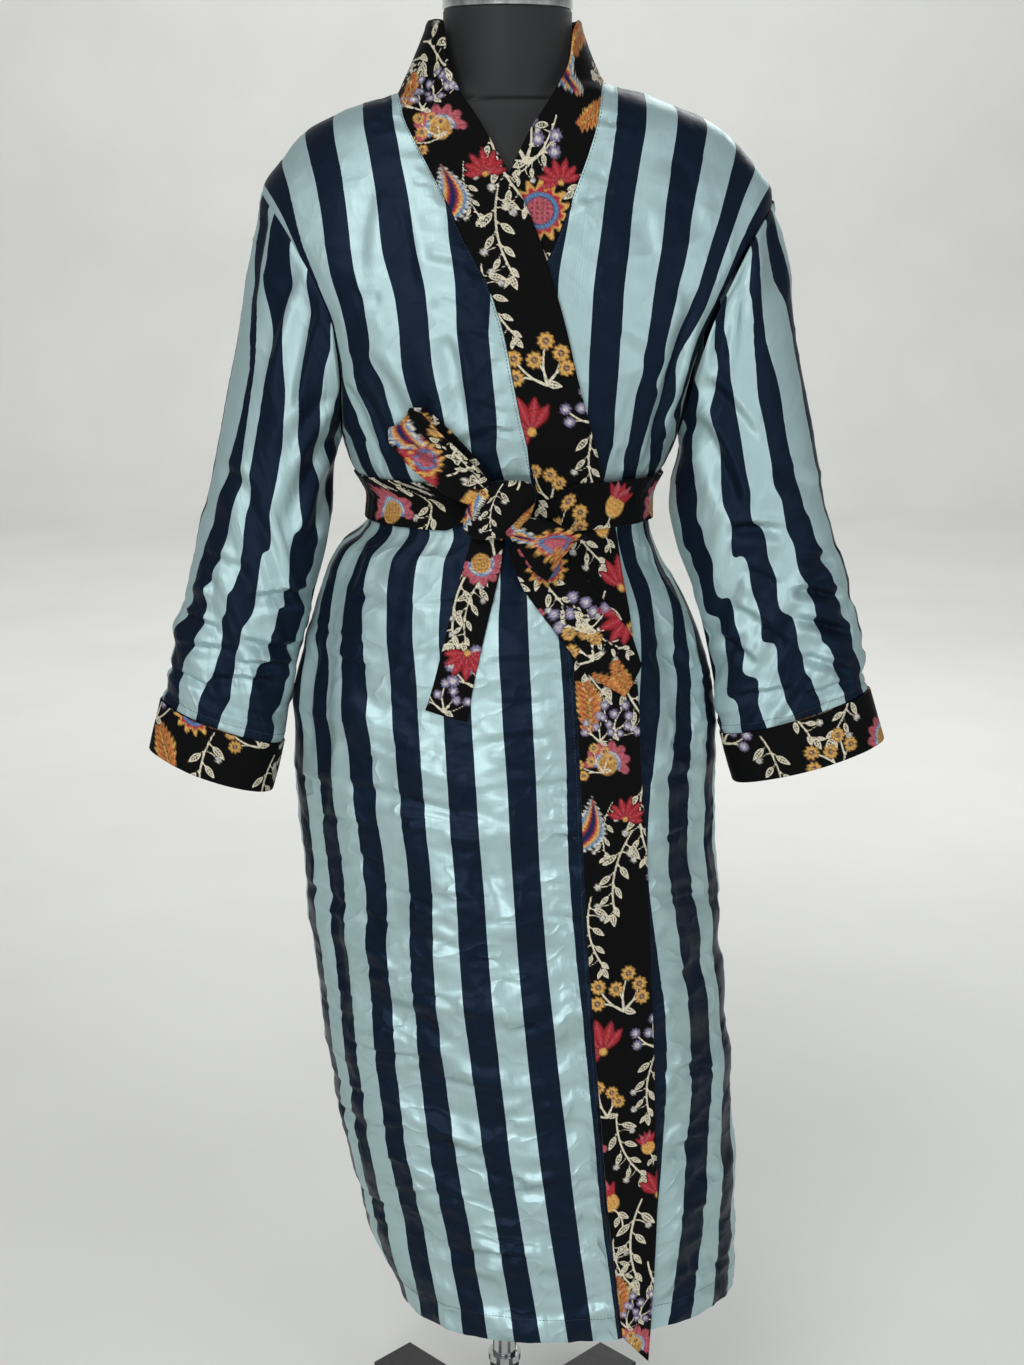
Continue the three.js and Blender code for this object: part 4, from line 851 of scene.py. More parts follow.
MOTIFS = {"s": (spray, 52), "d": (posy, 46), "l": (lilacs, 46), "b": (bell, 36), "y": (lily, 40),
          "h": (half_sun, 32), "f": (fern, 38), "p": (plume, 40), "m": (medallion, 28)}
# One letter for each flower, dots for bare velvet: four across the tile, eleven rows down it.
LAYOUT = ["dsbf", "sl.h", "bysl", "sdmp", "fssl", "hdsb", "psly", "slmd", "s.fs", "dbhs", "ylsd"]
print("motifs in the repeat:", sum(row.count(letter) for row in LAYOUT for letter in MOTIFS))

# %% Painting a piece of the print
def tile_motifs():
    """Kind, place, turn and size of every motif in the tile."""
    rng = np.random.default_rng(12)
    across, down = TILE[0] / 4, TILE[1] / len(LAYOUT)
    for j, row in enumerate(LAYOUT):
        for i, letter in enumerate(row):
            x = (i + 0.5 + 0.5 * (j % 2)) * across + rng.uniform(-7, 7)
            y = (j + 0.5) * down + rng.uniform(-6, 6)
            turn = rng.uniform(-40, 40) + (90 if letter == "s" else -90)
            if letter != ".":
                yield letter, x % TILE[0], y, turn, rng.uniform(0.95, 1.15)


def placed(text):
    """Motifs set one by one: kind, place in millimetres, turn in degrees and size."""
    rows = [row.split() for row in text.split(";")]
    return [(row[0], *map(float, row[1:])) for row in rows]


def printed(uv, extra=()):
    """Colours of the print at cloth coordinates in millimetres, one row per point. `extra` are
    more motifs of the same cloth that fall on this piece only."""
    colour = np.tile(np.concatenate([INK["black"], [AWAY, 0, 9, AWAY]]), (len(uv), 1))
    motifs = [*tile_motifs(), *extra]
    for letter, across, down, turn, size in sorted(motifs, key=lambda m: m[0] != "s"):
        # the sprays come first and lie under the flowers
        paint, reach = MOTIFS[letter]
        away = (uv - np.array([across, down]) + TILE / 2) % TILE - TILE / 2
        near = np.flatnonzero((away**2).sum(1) < (reach * size) ** 2)
        if len(near):
            part = colour[near]
            paint(part, *turned(away[near, 0] / size, away[near, 1] / size, turn))
            colour[near] = part
    return colour


print("one point's ink and leaf:", printed(np.array([[40.0, 60.0]])).round(3).tolist())

# %% [markdown]
# ## Fronts, back and sleeves
# Now the satin pieces themselves. Every grid line is worked out from the tables, moved out or in
# by the creases, the slow waves and the gathers at the belt, and given its stripe number. The
# cloth dips by a millimetre along each seam, as a sewn seam pulls it.

# %% Crease lines of the body
CREASES = {"right": creases("""
    -53 1221 -35 1134 3 2.2 9; -148 1178 -110 1097 4 2.6 6; -139 1185 -96 1100 3 2.2 6
    -134 1157 -101 1086 -3 1.8 5; -124 1203 -74 1110 5 1.4 9; -132 1249 -104 1251 -2 1.4 7
    -93 1331 -79 1246 3 1.3 10; -113 1347 -125 1255 -4 1.2 11; -68 1289 -29 1278 2 1.2 5
    -64 1246 -22 1230 3 1.2 6; -42 1220 8 1201 2 1 5; -29 1159 20 1143 -2 1.2 5
    -74 1097 -3 1132 4 1.5 7; -144 972 -105 972 2 2 5; -21 920 56 924 2 1.2 5; -10 883 57 889 -2 1.4 5
    -23 846 57 854 2 1.5 6; -3 824 61 830 -2 1.1 4; -33 800 63 805 3 1.3 5; -173 798 -22 772 6 1.9 7
    -151 729 -112 714 3 1.6 6; -16 749 8 663 -6 1.8 8; -24 609 16 613 2 1.3 5; 19 550 92 585 5 -2.4 12
    8 391 63 412 -5 1.7 7; -6 461 85 512 4 1.5 7; -74 314 51 316 3 1.4 6; -97 665 -32 634 5 1.2 8
    -118 583 -42 540 6 1.4 9; -81 436 -4 420 4 1.2 8; -140 889 -76 853 5 1.2 8; 51 1019 -3 964 4 1.4 8
    -47 1019 15 982 -4 1.2 8; -173 945 -183 793 -3 2 6; -164 927 -175 735 4 1.7 7
    -173 715 -152 531 4 1.5 8; -135 1032 -147 977 5 2.8 9"""),
    "left": creases("""
    173 1246 136 1085 -5 2.4 6; 165 1209 132 1096 -3 2 5; 179 1261 147 1136 -6 1.6 7
    119 1331 133 1246 4 1.3 10; 85 1220 130 1192 3 1.1 7; 152 1372 172 1297 5 1.2 10
    124 796 194 794 3 1.9 6; 147 498 204 497 2 1.8 6; 151 417 214 413 3 1.8 6; 130 923 184 895 4 1.6 7
    138 689 197 674 3 1.3 7; 142 598 201 603 -3 1.2 7; 155 341 216 334 3 1.4 6
    123 1016 169 979 -4 1.8 7; 146 1016 180 933 5 1.8 7"""),
    "back": creases("""
    -140 1190 -90 1098 5 2.4 7; -120 1215 -60 1105 6 1.8 8; 142 1200 96 1095 -5 2.3 7
    120 1220 62 1108 -6 1.7 8; -40 1180 -22 1100 3 1.5 9; 38 1175 20 1098 -3 1.6 8
    -60 1385 55 1380 6 1.3 9; -150 960 -70 900 6 1.6 9; 150 930 60 870 -6 1.7 9; -120 800 20 770 7 1.7 8
    140 740 20 700 6 1.4 8; -140 640 -40 600 5 1.4 8; 160 560 70 590 -5 1.6 8; -90 480 30 440 7 1.5 9
    150 400 40 430 5 1.4 8; -100 330 60 322 4 1.4 7; -30 900 40 880 4 1.2 7""")}
print("creases laid by hand on the body:", sum(len(lines["x1"]) for lines in CREASES.values()))

# %% Fronts
ROW_STEP, BACK_STEP = 3.2, 4.0  # millimetres between rows
FRONT_COLUMNS, BACK_COLUMNS = 106, 150
HEM_STITCH = 24  # millimetres above the hem


def seam_dip(*distances):
    return -sum(1.1 * np.exp(-np.maximum(d, 0) / 3.5) for d in distances)


def hem_puckers(b, z, seed):
    """The turned hem is stitched, and ripples below the stitches."""
    ripple = noise(np.degrees(b) / 3.1 + 70, z / 60, seed)
    held = np.exp(-((z - HEM - HEM_STITCH) / 9) ** 2)
    return (0.9 * ripple - 0.5) * held + 1.6 * ripple * smooth((HEM + 20 - z) / 20)


def tuck(b, z):
    """The hem's corner at the wearer's right side hangs slack and turns in."""
    low = np.clip((HEM + 90 - z) / 90, 0, 1)
    return -30 * low**1.7 * np.exp(-(degrees_from(b, -90) / 38) ** 2)


def at_belt(z, reach=26):
    """1 under the belt, 0 away from it."""
    return np.exp(-((z - WAIST) / reach) ** 4)


def pressed(move, b, z):
    """The belt presses the cloth flat, folds stay under 8 mm, and the hem's corner turns in."""
    flatter = at_belt(z)
    return 8 * np.tanh((move * (1 - flatter) - 0.6 * flatter) / 8) + tuck(b, z)


def facing(n):
    """The creases are laid as seen from the front or back, so they fade to the sides."""
    return 0.3 + 0.7 * smooth(np.abs(n[..., 1]) * 1.5)


def seam_distances(flat):
    """Distances across the cloth from its first column and to its last."""
    across = run_length(flat, 1)
    return across, across[:, -1:] - across


def band_line(side, edge, z):
    """x of a band's seam or free edge at a height."""
    rows = np.linspace(0, LAST_ROW, 400)
    level, x = BAND[side][edge + "Z"](rows), BAND[side][edge + "X"](rows)
    return np.interp(z, level[::-1], x[::-1])


def waves(points, b, z, seeds):
    return drape(points, seeds[0]) + gather(b, z, seeds[1]) + hem_puckers(b, z, seeds[2])


def front_wave(points, b, z):
    """Slow waves of the right front. The layers it covers take the same ones, so that none of
    them comes through."""
    inside = smooth((band_line("right", "seam", z) - points[..., 0]) / 14)
    return waves(points, b, z, (31, 38, 40)) * inside


def satin(name, flat, n, move, numbers):
    uv = np.stack([numbers, run_length(flat + n * move[..., None]) / STRIPE], -1)
    return shell(name + "_cloth", flat, n, move, SATIN, uv)


def satin_front(side, seed, pucker_seed, small_creases):
    rows = even_rows(0, LAST_ROW, ROW_STEP)
    row_grid, share_grid = grid(rows, np.linspace(0, 1, FRONT_COLUMNS))
    b, z = front_at(side, row_grid, share_grid)
    b[:, 0] += SIGN[side] * SEAM_TURN
    b[:, -1] -= SIGN[side] * SEAM_TURN
    flat, n = robe_point(b, z, lap(side, b, z))
    from_band, to_side = seam_distances(flat)
    settle = smooth(np.minimum(from_band, to_side) / 14)  # the seams hold the cloth still
    lines = together(CREASES[side],
                     seam_puckers(side, 0, 15, (14, 42), (0.7, 1.5), (2.4, 4.5), pucker_seed),
                     seam_puckers(side, 15, 24, (12, 45), (0.5, 1.2), (2.6, 5), pucker_seed + 1),
                     scattered(*small_creases))
    fine = 1.5 * crease_depth(flat, lines) * (0.25 + 0.75 * settle) * facing(n)
    fine = fine + seam_dip(from_band, to_side)
    pull = 0.4 + noise(z / 7 + 3, from_band / 30, seed + 13)  # of the band on the cloth
    fine += 2.2 * pull * np.exp(-from_band / 11)
    wave, x = front_wave(flat, b, z), flat[..., 0]
    if side == "right":  # over the other layers its creases are shallower
        fine = np.maximum(fine, -2.8 - 5 * smooth((band_line("left", "free", z) - x) / 15))
        wave *= smooth(to_side / 14)
    else:  # beyond the right band's edge it has waves and creases of its own
        shown = smooth((x - band_line("right", "free", z)) / 20)
        wave = mix(wave, waves(flat, b, z, (seed, seed + 7, seed + 9)) * settle, shown)
        fine = fine * shown
    numbers = stripe_number(FRONT_STRIPES[side], rows, share_grid)
    # the folds that pull from underarm to belt shift the stripes
    pulled = smooth((1215 - z) / 60) * smooth((z - 1084) / 14) * smooth((75 - to_side) / 45)
    numbers += 0.42 * pulled * noise((z + 0.7 * to_side) / 17, (to_side - 0.5 * z) / 60, seed + 15)
    return satin("front_" + side, flat, n, pressed(wave + fine, b, z), numbers)


front_right = satin_front("right", 31, 21, (-190, 110, 250, 1000, 60, 25))
front_left = satin_front("left", 37, 23, (110, 230, 250, 1000, 22, 27))

# %% Back
# millimetres across the back: as cut, and where it is so narrow that its stripes close up no more
BACK_WIDE, BACK_NARROW = 560, 440
MIDDLE_NUMBER = 40.5  # the middle of stripe 40, which is navy like every even one


def satin_back():
    rows, share = even_rows(0, LAST_ROW, BACK_STEP), np.linspace(0, 1, BACK_COLUMNS)
    row_grid, share_grid = grid(rows, share)
    b, z = back_at(row_grid, share_grid)
    b[0] += np.where(share < 0.25, -SEAM_TURN, np.where(share > 0.75, SEAM_TURN, 0))
    z[0] -= np.where((share >= 0.25) & (share <= 0.75), 0.4, 0)
    b[:, 0] -= SEAM_TURN
    b[:, -1] += SEAM_TURN
    flat, n = robe_point(b, z)
    from_right, to_left = seam_distances(flat)
    settle = smooth(np.minimum(from_right, to_left) / 14) * smooth((row_grid + 0.15) / 0.8)
    lines = together(CREASES["back"], scattered(-200, 220, 250, 1380, 60, 29))
    move = 1.3 * crease_depth(flat, lines) * facing(n) + drape(flat, 43) + gather(b, z, 51)
    move = move * settle + (hem_puckers(b, z, 53) * settle + seam_dip(from_right, to_left))
    # the stripes run straight down from the shoulders, centred on the back's middle
    width = from_right[:, -1:]
    spread = BACK_WIDE / np.maximum(width, BACK_NARROW)
    numbers = (from_right - width / 2) / STRIPE * spread + MIDDLE_NUMBER
    return satin("back", flat, n, pressed(move, b, z), numbers)


back = satin_back()

# %% Sleeves
SLEEVE_CREASES = {"right": creases("""
    -239 969 -173 969 4 3.6 6; -314 920 -249 919 3 2.6 6; -249 934 -188 918 -3 2.8 5
    -281 893 -208 887 3 2.4 5; -284 1008 -233 992 4 1.8 7; -309 951 -263 939 2 2.2 5
    -257 909 -195 901 2 2 4; -315 897 -273 883 2 1.8 4; -153 1162 -202 1091 -5 2.2 8
    -152 1126 -202 1022 -6 2.4 8; -157 1091 -188 1008 4 1.8 6; -212 1326 -228 1235 -3 2 9
    -181 1277 -218 1171 -5 2 8; -165 1251 -197 1132 -4 2.2 8; -264 1091 -222 1059 4 1.4 9
    -291 984 -273 970 2 -3 9"""),
    "left": creases("""
    206 1034 264 1033 4 3 6; 263 979 325 966 3 3.4 5; 269 953 332 932 3 3.6 5; 209 962 270 920 4 2.6 7
    278 917 331 896 2 2.8 5; 218 872 279 883 3 1.8 4; 277 879 337 893 -2 1.8 4; 199 932 241 905 3 2 5
    173 1144 220 1043 6 2.4 8; 178 1175 236 1108 5 2.2 8; 241 1320 258 1240 -3 2 9
    224 1291 217 1213 -4 1.8 8; 207 1260 198 1173 -4 1.8 8; 244 1091 300 1064 4 1.6 8
    274 1008 314 1002 2 2.2 5; 221 998 261 979 3 1.6 6""")}
SLEEVE_POINTS = (170, 160)  # rows, and points round it


def armhole_loop(side, c):
    """Points of the armhole seam: c runs from 0 at the tip to 12 underarm and 24 at the tip."""
    b, z = armhole(side, np.where(c <= 12, c, 24 - c))
    point, _ = robe_point(np.where(c <= 12, b, math.pi - b), z)
    return point + np.array([SIGN[side] * 0.2, 0, 0])


def tube_point(tube, s, turn):
    """A point of a flattened tube: turn 0 is its outer side, a quarter turn its front."""
    out = (1 + np.cos(turn)) / 2
    return np.stack([mix(tube["inX"](s), tube["outX"](s), out),
                     -tube["ahead"](s) - tube["deep"](s) * np.sin(turn),
                     mix(tube["inZ"](s), tube["outZ"](s), out)], -1)


def tube_normals(tube, s, flat):
    middle = (tube_point(tube, s, 0 * s) + tube_point(tube, s, 0 * s + math.pi)) / 2
    return grid_normals(flat, flat - middle, True)


def sleeve_point(side, s, c):
    """The sleeve starts on the armhole's seam and soon turns into its tube."""
    length = run_length(armhole_loop(side, np.linspace(0, 24, 481)))
    front, whole = length[240], length[-1]
    turns = np.where(length <= front, length / front, 1 + (length - front) / (whole - front)) * math.pi
    turn = np.interp(c, np.linspace(0, 24, 481), turns)
    here = mix(turn, c / 24 * 2 * math.pi, smooth(s / 0.625))
    start = armhole_loop(side, c) - tube_point(TUBE[side], 0 * s, turn)
    return tube_point(TUBE[side], s, here) + start * (1 - smooth(s / 10 * 2.2))[..., None]


def satin_sleeve(side, seed):
    """Its grid runs from the underarm round the back, over the outer side at c = 0, to the
    underarm again."""
    rows, around = SLEEVE_POINTS
    s, c = grid(np.linspace(0, 10, rows), np.linspace(-12, 12, around + 1))
    s_grid, c_grid = s[:, :-1], c[:, :-1]
    flat = sleeve_point(side, s_grid, c_grid % 24)
    n = tube_normals(TUBE[side], s_grid, flat)
    ahead = np.sin(c_grid / 12 * math.pi)
    front, behind = smooth(ahead * 2.2 + 0.55), smooth(-ahead * 2.2 + 0.55)
    lines = SLEEVE_CREASES[side]
    hidden = dict(lines, z1=lines["z1"] + 17, z2=lines["z2"] + 9, depth=lines["depth"] * 0.85)
    down = run_length(flat)
    to_cuff = down[-1:] - down
    seam = smooth((12 - np.abs(c_grid)) / 0.9)  # the underarm seam holds the cloth still
    settle = smooth(down / 12) * smooth(to_cuff / 7) * (0.2 + 0.8 * seam)
    bunch = 3.2 * noise(c_grid / 3.6 + 11, to_cuff / 8, seed + 5) * np.exp(-((to_cuff - 24) / 24) ** 2)
    crush = 4.2 * noise(c_grid / 5.4 + 31, down / 18 + 0.16 * c_grid, seed + 6)
    crush = crush * smooth((s_grid - 4.2) / 3)
    wave = 1.9 * noise(c_grid / 3.1 + 60, down / 66, seed)
    fine = 0.7 * crumple(c_grid / 3.4 + 15, down / 27 + c_grid / 7, seed + 8)
    fine = fine + 0.35 * crumple(c_grid / 1.7 + 7, down / 13 - c_grid / 5, seed + 9)
    move = 2.0 * (crease_depth(flat, lines) * front + crease_depth(flat, hidden) * behind)
    move = (move + (bunch + crush + wave + fine) * seam) * settle + seam_dip(down, to_cuff)
    move = np.clip(move, -10, 7)
    # the chart covers the front; behind, the stripes go on evenly round from the outer side
    numbers = stripe_number(SLEEVE_STRIPES[side], s[:, 0], np.maximum(c, 0))
    arc = run_length(closed(flat + n * move[..., None]), 1)
    outer = around // 2
    numbers = np.where(c < 0, numbers + (arc - arc[:, outer:outer + 1]) / STRIPE, numbers)
    # where the cloth bunches, its folds shift the stripes sideways
    long = closed(down)
    jog = noise(c / 9 + 3, long / 23 + 0.1 * c, seed + 11) + 0.3 * noise(c / 5 + 9, long / 13, seed + 12)
    numbers = numbers + 0.24 * jog * smooth((s - 4) / 2.5) * smooth((10 - s) / 0.8)
    uv = np.stack([numbers, long / STRIPE], -1)
    return shell("sleeve_" + side + "_cloth", flat, n, move, SATIN, uv, around=True)


sleeve_right, sleeve_left = satin_sleeve("right", 61), satin_sleeve("left", 71)

# %% [markdown]
# ## Velvet band, cuffs and belt
# The band is folded lengthwise and sewn to both front edges and the neck, so its free edge is a
# soft roll. The pile is thick, which gives it few and rounded waves. The grids here are as fine as
# the print's own lines, because the print is held by their points.

# %% Velvet pieces
PILE_STEP, BAND_PROUD = 1.45, 0.8  # millimetres between a band's rows, and off the satin
MIDDLE = 32  # from the left edge of a strip's cut to its middle line


def velvet(name, flat, n, move, cut, edges, around=False, extra=()):
    """A printed piece. cut is its corner in the print, and whether its rows run across the print.
    edges are the rolled ones."""
    whole = closed(flat) if around else flat
    down, (across, to_last) = run_length(whole), seam_distances(whole)
    to_edge = {"first": across, "last": to_last, "top": down, "bottom": down[-1:] - down}
    if not around:  # the print runs straight along the middle line, whatever the rows' slant
        middle = whole.shape[1] // 2
        centre = whole[:, middle:middle + 1]
        tangent = unit(np.gradient(centre, axis=0))
        off = whole - centre
        along = (off * tangent).sum(-1) * ("loop" not in name)
        side = np.sign(np.arange(whole.shape[1]) - middle)
        across = side * np.linalg.norm(off - along[..., None] * tangent, axis=-1) + MIDDLE
        down = down[:, middle:middle + 1] + along
    left, top, turned_cut = cut
    place = np.stack([left + down, top + across] if turned_cut else [left + across, top + down], -1)
    half = np.ones(flat.shape[:2])
    for edge in edges:
        half = np.minimum(half, rounded(to_edge[edge][:, :flat.shape[1]], VELVET / 2))
    colour = printed(place[:, :flat.shape[1]].reshape(-1, 2), extra).reshape(*flat.shape[:2], 7)
    return shell(name + "_velvet", flat, n, move, VELVET, place / 100, colour, around, half)


def edged(count):
    """Even shares from 0 to 1 with a few close ones at both ends for a rolled edge."""
    ends = np.array([0, 0.004, 0.012, 0.022])
    return np.concatenate([ends, np.linspace(0.032, 0.968, count), 1 - ends[::-1]])


def band(side, rows, cut, seed, motifs):
    row_grid, share_grid = grid(rows, edged(40))
    path, sign = BAND[side], SIGN[side]
    z = mix(path["seamZ"](row_grid), path["freeZ"](row_grid), share_grid)
    x = mix(path["seamX"](row_grid), path["freeX"](row_grid), share_grid)
    b = bearing_at(x, z)
    b[0] = sign * (QUARTER - 2 * SEAM_TURN)
    b[:, 0] -= sign * SEAM_TURN
    flat, n = robe_point(b, z, lap(side, b, z) + BAND_PROUD)
    ends = smooth(np.minimum(row_grid, LAST_ROW - row_grid + 0.3) / 0.5)
    move = 0.9 * noise(share_grid * 1.4 + 5, z / 58, seed)
    move += 0.35 * noise(share_grid * 3 + 2, z / 19, seed + 1)
    roll = 0.8 * np.exp(-((share_grid - 0.93) / 0.06) ** 2)  # the folded edge is plump
    move = (move * ends * smooth(share_grid / 0.2) + roll) * smooth((1 - share_grid) / 0.04 + 0.3)
    move = np.clip(move * (1 - 0.8 * at_belt(z)) + seam_dip(share_grid * 62), -2, 2.2)
    if side == "left":  # under the right front it lies deeper and takes that one's waves
        covered = smooth((band_line("right", "seam", z) - x + 6) / 20) * (1 - at_belt(z, 40))
        move = mix(move, front_wave(flat, b, z) - 1.6, covered) + tuck(b, z)
    return velvet("band_" + side, flat, n, move, cut, ("last", "bottom"), extra=placed(motifs))


rows_right = even_rows(0, LAST_ROW, PILE_STEP)
# below row 9 the left band is under the right front, so its rows are wider apart
rows_left = np.concatenate([even_rows(0, 9, PILE_STEP), even_rows(9.02, LAST_ROW, 6)])
band_right = band(
    "right", rows_right, (24, 196, False), 81, "s 46 216 70 .8; l 66 262 -60 .85; d 40 300 -120 .75;"
    "y 70 352 -70 .7; s 50 372 100 .7; b 74 700 -100 .7; l 48 880 -80 .7")
band_left = band(
    "left", rows_left, (150, 10, False), 83, "s 176 22 95 .8; p 196 70 -60 .85; f 168 96 70 .75;"
    "s 200 150 80 .8; y 172 160 -50 .7")


def neck_band():
    rise, share = grid(edged(32), np.linspace(0, 1, 130))
    z = mix(BAND["right"]["freeZ"](0.0), neck_height(share) + 0.4, rise)
    b = mix(3 * QUARTER, QUARTER, share)
    b[:, 0] -= 2 * SEAM_TURN
    b[:, -1] += 2 * SEAM_TURN
    flat, n = robe_point(b, z, BAND_PROUD)
    move = 0.5 * noise(share * 7, rise * 2, 85) * smooth(np.minimum(share, 1 - share) * 12)
    return velvet("band_neck", flat, n, move, (60, 330, False), ("top",))


band_neck = neck_band()


def ring_turns(count):
    return np.linspace(0, WHOLE, count + 1)[:-1]


def velvet_cuff(side, cut, seed):
    s, c = grid(edged(34) * 2, ring_turns(228))
    flat = tube_point(CUFF[side], s, c)
    share = c / 2 / math.pi
    wave = 1.1 * noise(share * 9 + 4, s * 0.8, seed) + 0.35 * noise(share * 23, s * 1.5, seed + 1)
    wave *= smooth(np.minimum(c, WHOLE - c) / 0.3) * (0.35 + 0.65 * smooth(s / 0.5))
    press = -3.0 * smooth(np.abs(np.sin(c)) * 1.4 - 0.4) * smooth(s)  # the hem lies flatter
    normals = tube_normals(CUFF[side], s, flat)
    return velvet("cuff_" + side, flat, normals, wave + press, cut, ("top", "bottom"), True)


cuff_right = velvet_cuff("right", (112, 420, False), 91)
cuff_left = velvet_cuff("left", (40, 258, False), 93)

# %% [markdown]
# ## The belt
# The belt goes once round the waist and ties in a bow with two loops and two tails, one end cut
# straight and the other on the slant. Each free stretch is a strip whose middle line stands off
# the robe by the amount in its table, with a fold along it and creases where the knot grips it.

# %% Belt
STRIPS = {name: table("x z halfX halfZ off", rows) for name, rows in {
    "belt_loop_long": """
    -19 1082.5 9 10 20; -40 1102 12 13 26; -60 1120 13 14 25; -78 1137 13 14 20; -86 1144 9 9.5 13
    -78 1137 13 14 7; -60 1120 13 14 6.5; -40 1102 12 13 9; -19 1082.5 9 10 14""",
    "belt_loop_short": """
    14 1044.5 9 9 21; 30 1031 15 16 29; 45 1020 17 19 26; 52 1015 17 20 19; 45 1020 17 19 13
    30 1031 15 16 12; 14 1044.5 9 9 15""",
    "belt_tail_right": """
    -13 1034 13 3 13; -20 1003 18 5 8; -31 960 19 6 4.6; -42 915 19 5 4.6; -52 872 19 -5 4.6""",
    "belt_tail_left": """
    14 1030 10 10 9; 38 1000 17 17 5; 64 968 18 18 4.6; 92 932 19 18 4.6; 119 900 8 14 4.6"""}.items()}
BELT_LIFT = 3.8


def waist_belt():
    rise, b = grid(edged(28), ring_turns(562))
    turn = np.degrees(b)
    from_knot = np.abs(degrees_from(b, 0))
    pinch = smooth((24 - from_knot) / 12)  # the knot draws the belt narrow
    z = mix(BELT_TOP - 15 * pinch, BELT_BOTTOM + 13 * pinch, rise)
    flat, n = robe_point(b, z, BELT_LIFT)
    wave = 0.55 * noise(turn / 9, z / 30, 101) + 0.45 * noise(turn / 4, z / 8, 102)
    grip = np.exp(-(from_knot / 24) ** 2)
    upright = noise(turn / 2.3, z / 60, 103) * smooth((from_knot - 50) / 20)
    move = wave + grip * 1.3 * np.cos((rise - 0.5) * 13) + 0.9 * upright
    move *= smooth(np.minimum(b, WHOLE - b) / 0.05 + 0.1)
    return velvet("belt_waist", flat, n, np.clip(move, -0.4, 2.0), (8, 500, False), ("top", "bottom"), True)


def belt_strip(name, cut, seed, fold, motifs):
    """A loop or a tail. Its motifs are placed down from the knot and across from the middle."""
    at, last, is_loop = by_order(STRIPS[name]), len(STRIPS[name]["x"]) - 1, "loop" in name
    t, share = grid(edged(150 if is_loop else 112) * last, edged(30 if is_loop else 22))
    across = share * 2 - 1
    x, z = at["x"](t) + across * at["halfX"](t), at["z"](t) + across * at["halfZ"](t)
    flat, outward = robe_point(bearing_at(x, z), z, at["off"](t))
    n = grid_normals(flat, outward[0, 0])
    grip = np.exp(-t / 0.9) + is_loop * np.exp(-(last - t) / 0.9)
    crest = fold * (1 - across**2) - 0.45 * fold * np.exp(-((across + 0.25 - 0.12 * t) / 0.16) ** 2)
    pinch = 1.5 * grip * np.cos(across * 9 + seed) * (1 - across**2)
    move = crest * smooth(t / 0.4 + 0.2) + pinch + 0.9 * noise(t * 2.2, across * 1.6 + 3, seed)
    left, top, turned_cut = cut
    extra = []
    for kind, down, off, turn, size in placed(motifs):
        place = (left + down, top + MIDDLE + off) if turned_cut else (left + MIDDLE + off, top + down)
        extra.append((kind, *place, turn, size))
    edges = ("first", "last", "top", "bottom")
    return velvet(name, flat, n, np.clip(move, -1.6, 6), cut, edges, extra=extra)


belt_waist = waist_belt()
loop_long = belt_strip("belt_loop_long", (30, 120, True), 111, 4.5,
                       "p 88 0 186 .9; m 58 -8 0 .7; s 34 8 5 .8; f 112 2 10 .8")
loop_short = belt_strip("belt_loop_short", (170, 60, True), 113, 4.0,
                        "m 36 2 0 .85; p 12 -12 20 .6; f 58 -8 160 .7")
tail_right = belt_strip("belt_tail_right", (66, 300, False), 115, 2.6,
                        "h 30 0 70 .9; s 72 2 90 .8; y 118 7 80 .8; l 150 -6 -100 .8")
tail_left = belt_strip("belt_tail_left", (196, 470, False), 117, 2.2,
                       "m 34 4 0 .8; l 84 0 -70 1; s 116 9 80 .8; f 156 -4 100 .7")

# %% Knot
KNOT_X, KNOT_Z, KNOT_LEAN = -3, 1061.5, 0.34
KNOT_WIDE, KNOT_TALL, KNOT_DEEP = 60, 54, 26
KNOT_LAYERS = np.array([(174, 83), (60, 330), (120, 470)])  # where each is cut from the print
KNOT_MOTIFS = placed("s 172 86 62 .62; p 34 334 70 .75; d 28 318 20 .7; h 147 470 40 .8")


def closed_mesh(name, points, uv=None, colour=None):
    """Rings of points from the top down, joined round, with a middle point closing each end."""
    index = closed(np.arange(points[..., 0].size).reshape(points.shape[:2]))
    faces = grid_quads(index)
    both = points.reshape(-1, 3)
    for ring in (index[0], index[-1][::-1]):
        both = np.concatenate([both, both[ring[:-1]].mean(0, keepdims=True)])
        faces += [[int(b), len(both) - 1, int(a)] for a, b in zip(ring[:-1], ring[1:])]
    if uv is not None:
        uv, colour = [np.concatenate([a, a[:1], a[-1:]]) for a in (uv, colour)]
    return make_object(name, both, faces, uv, faces, colour)


def squarer(v):
    return np.sign(v) * np.abs(v) ** 0.8


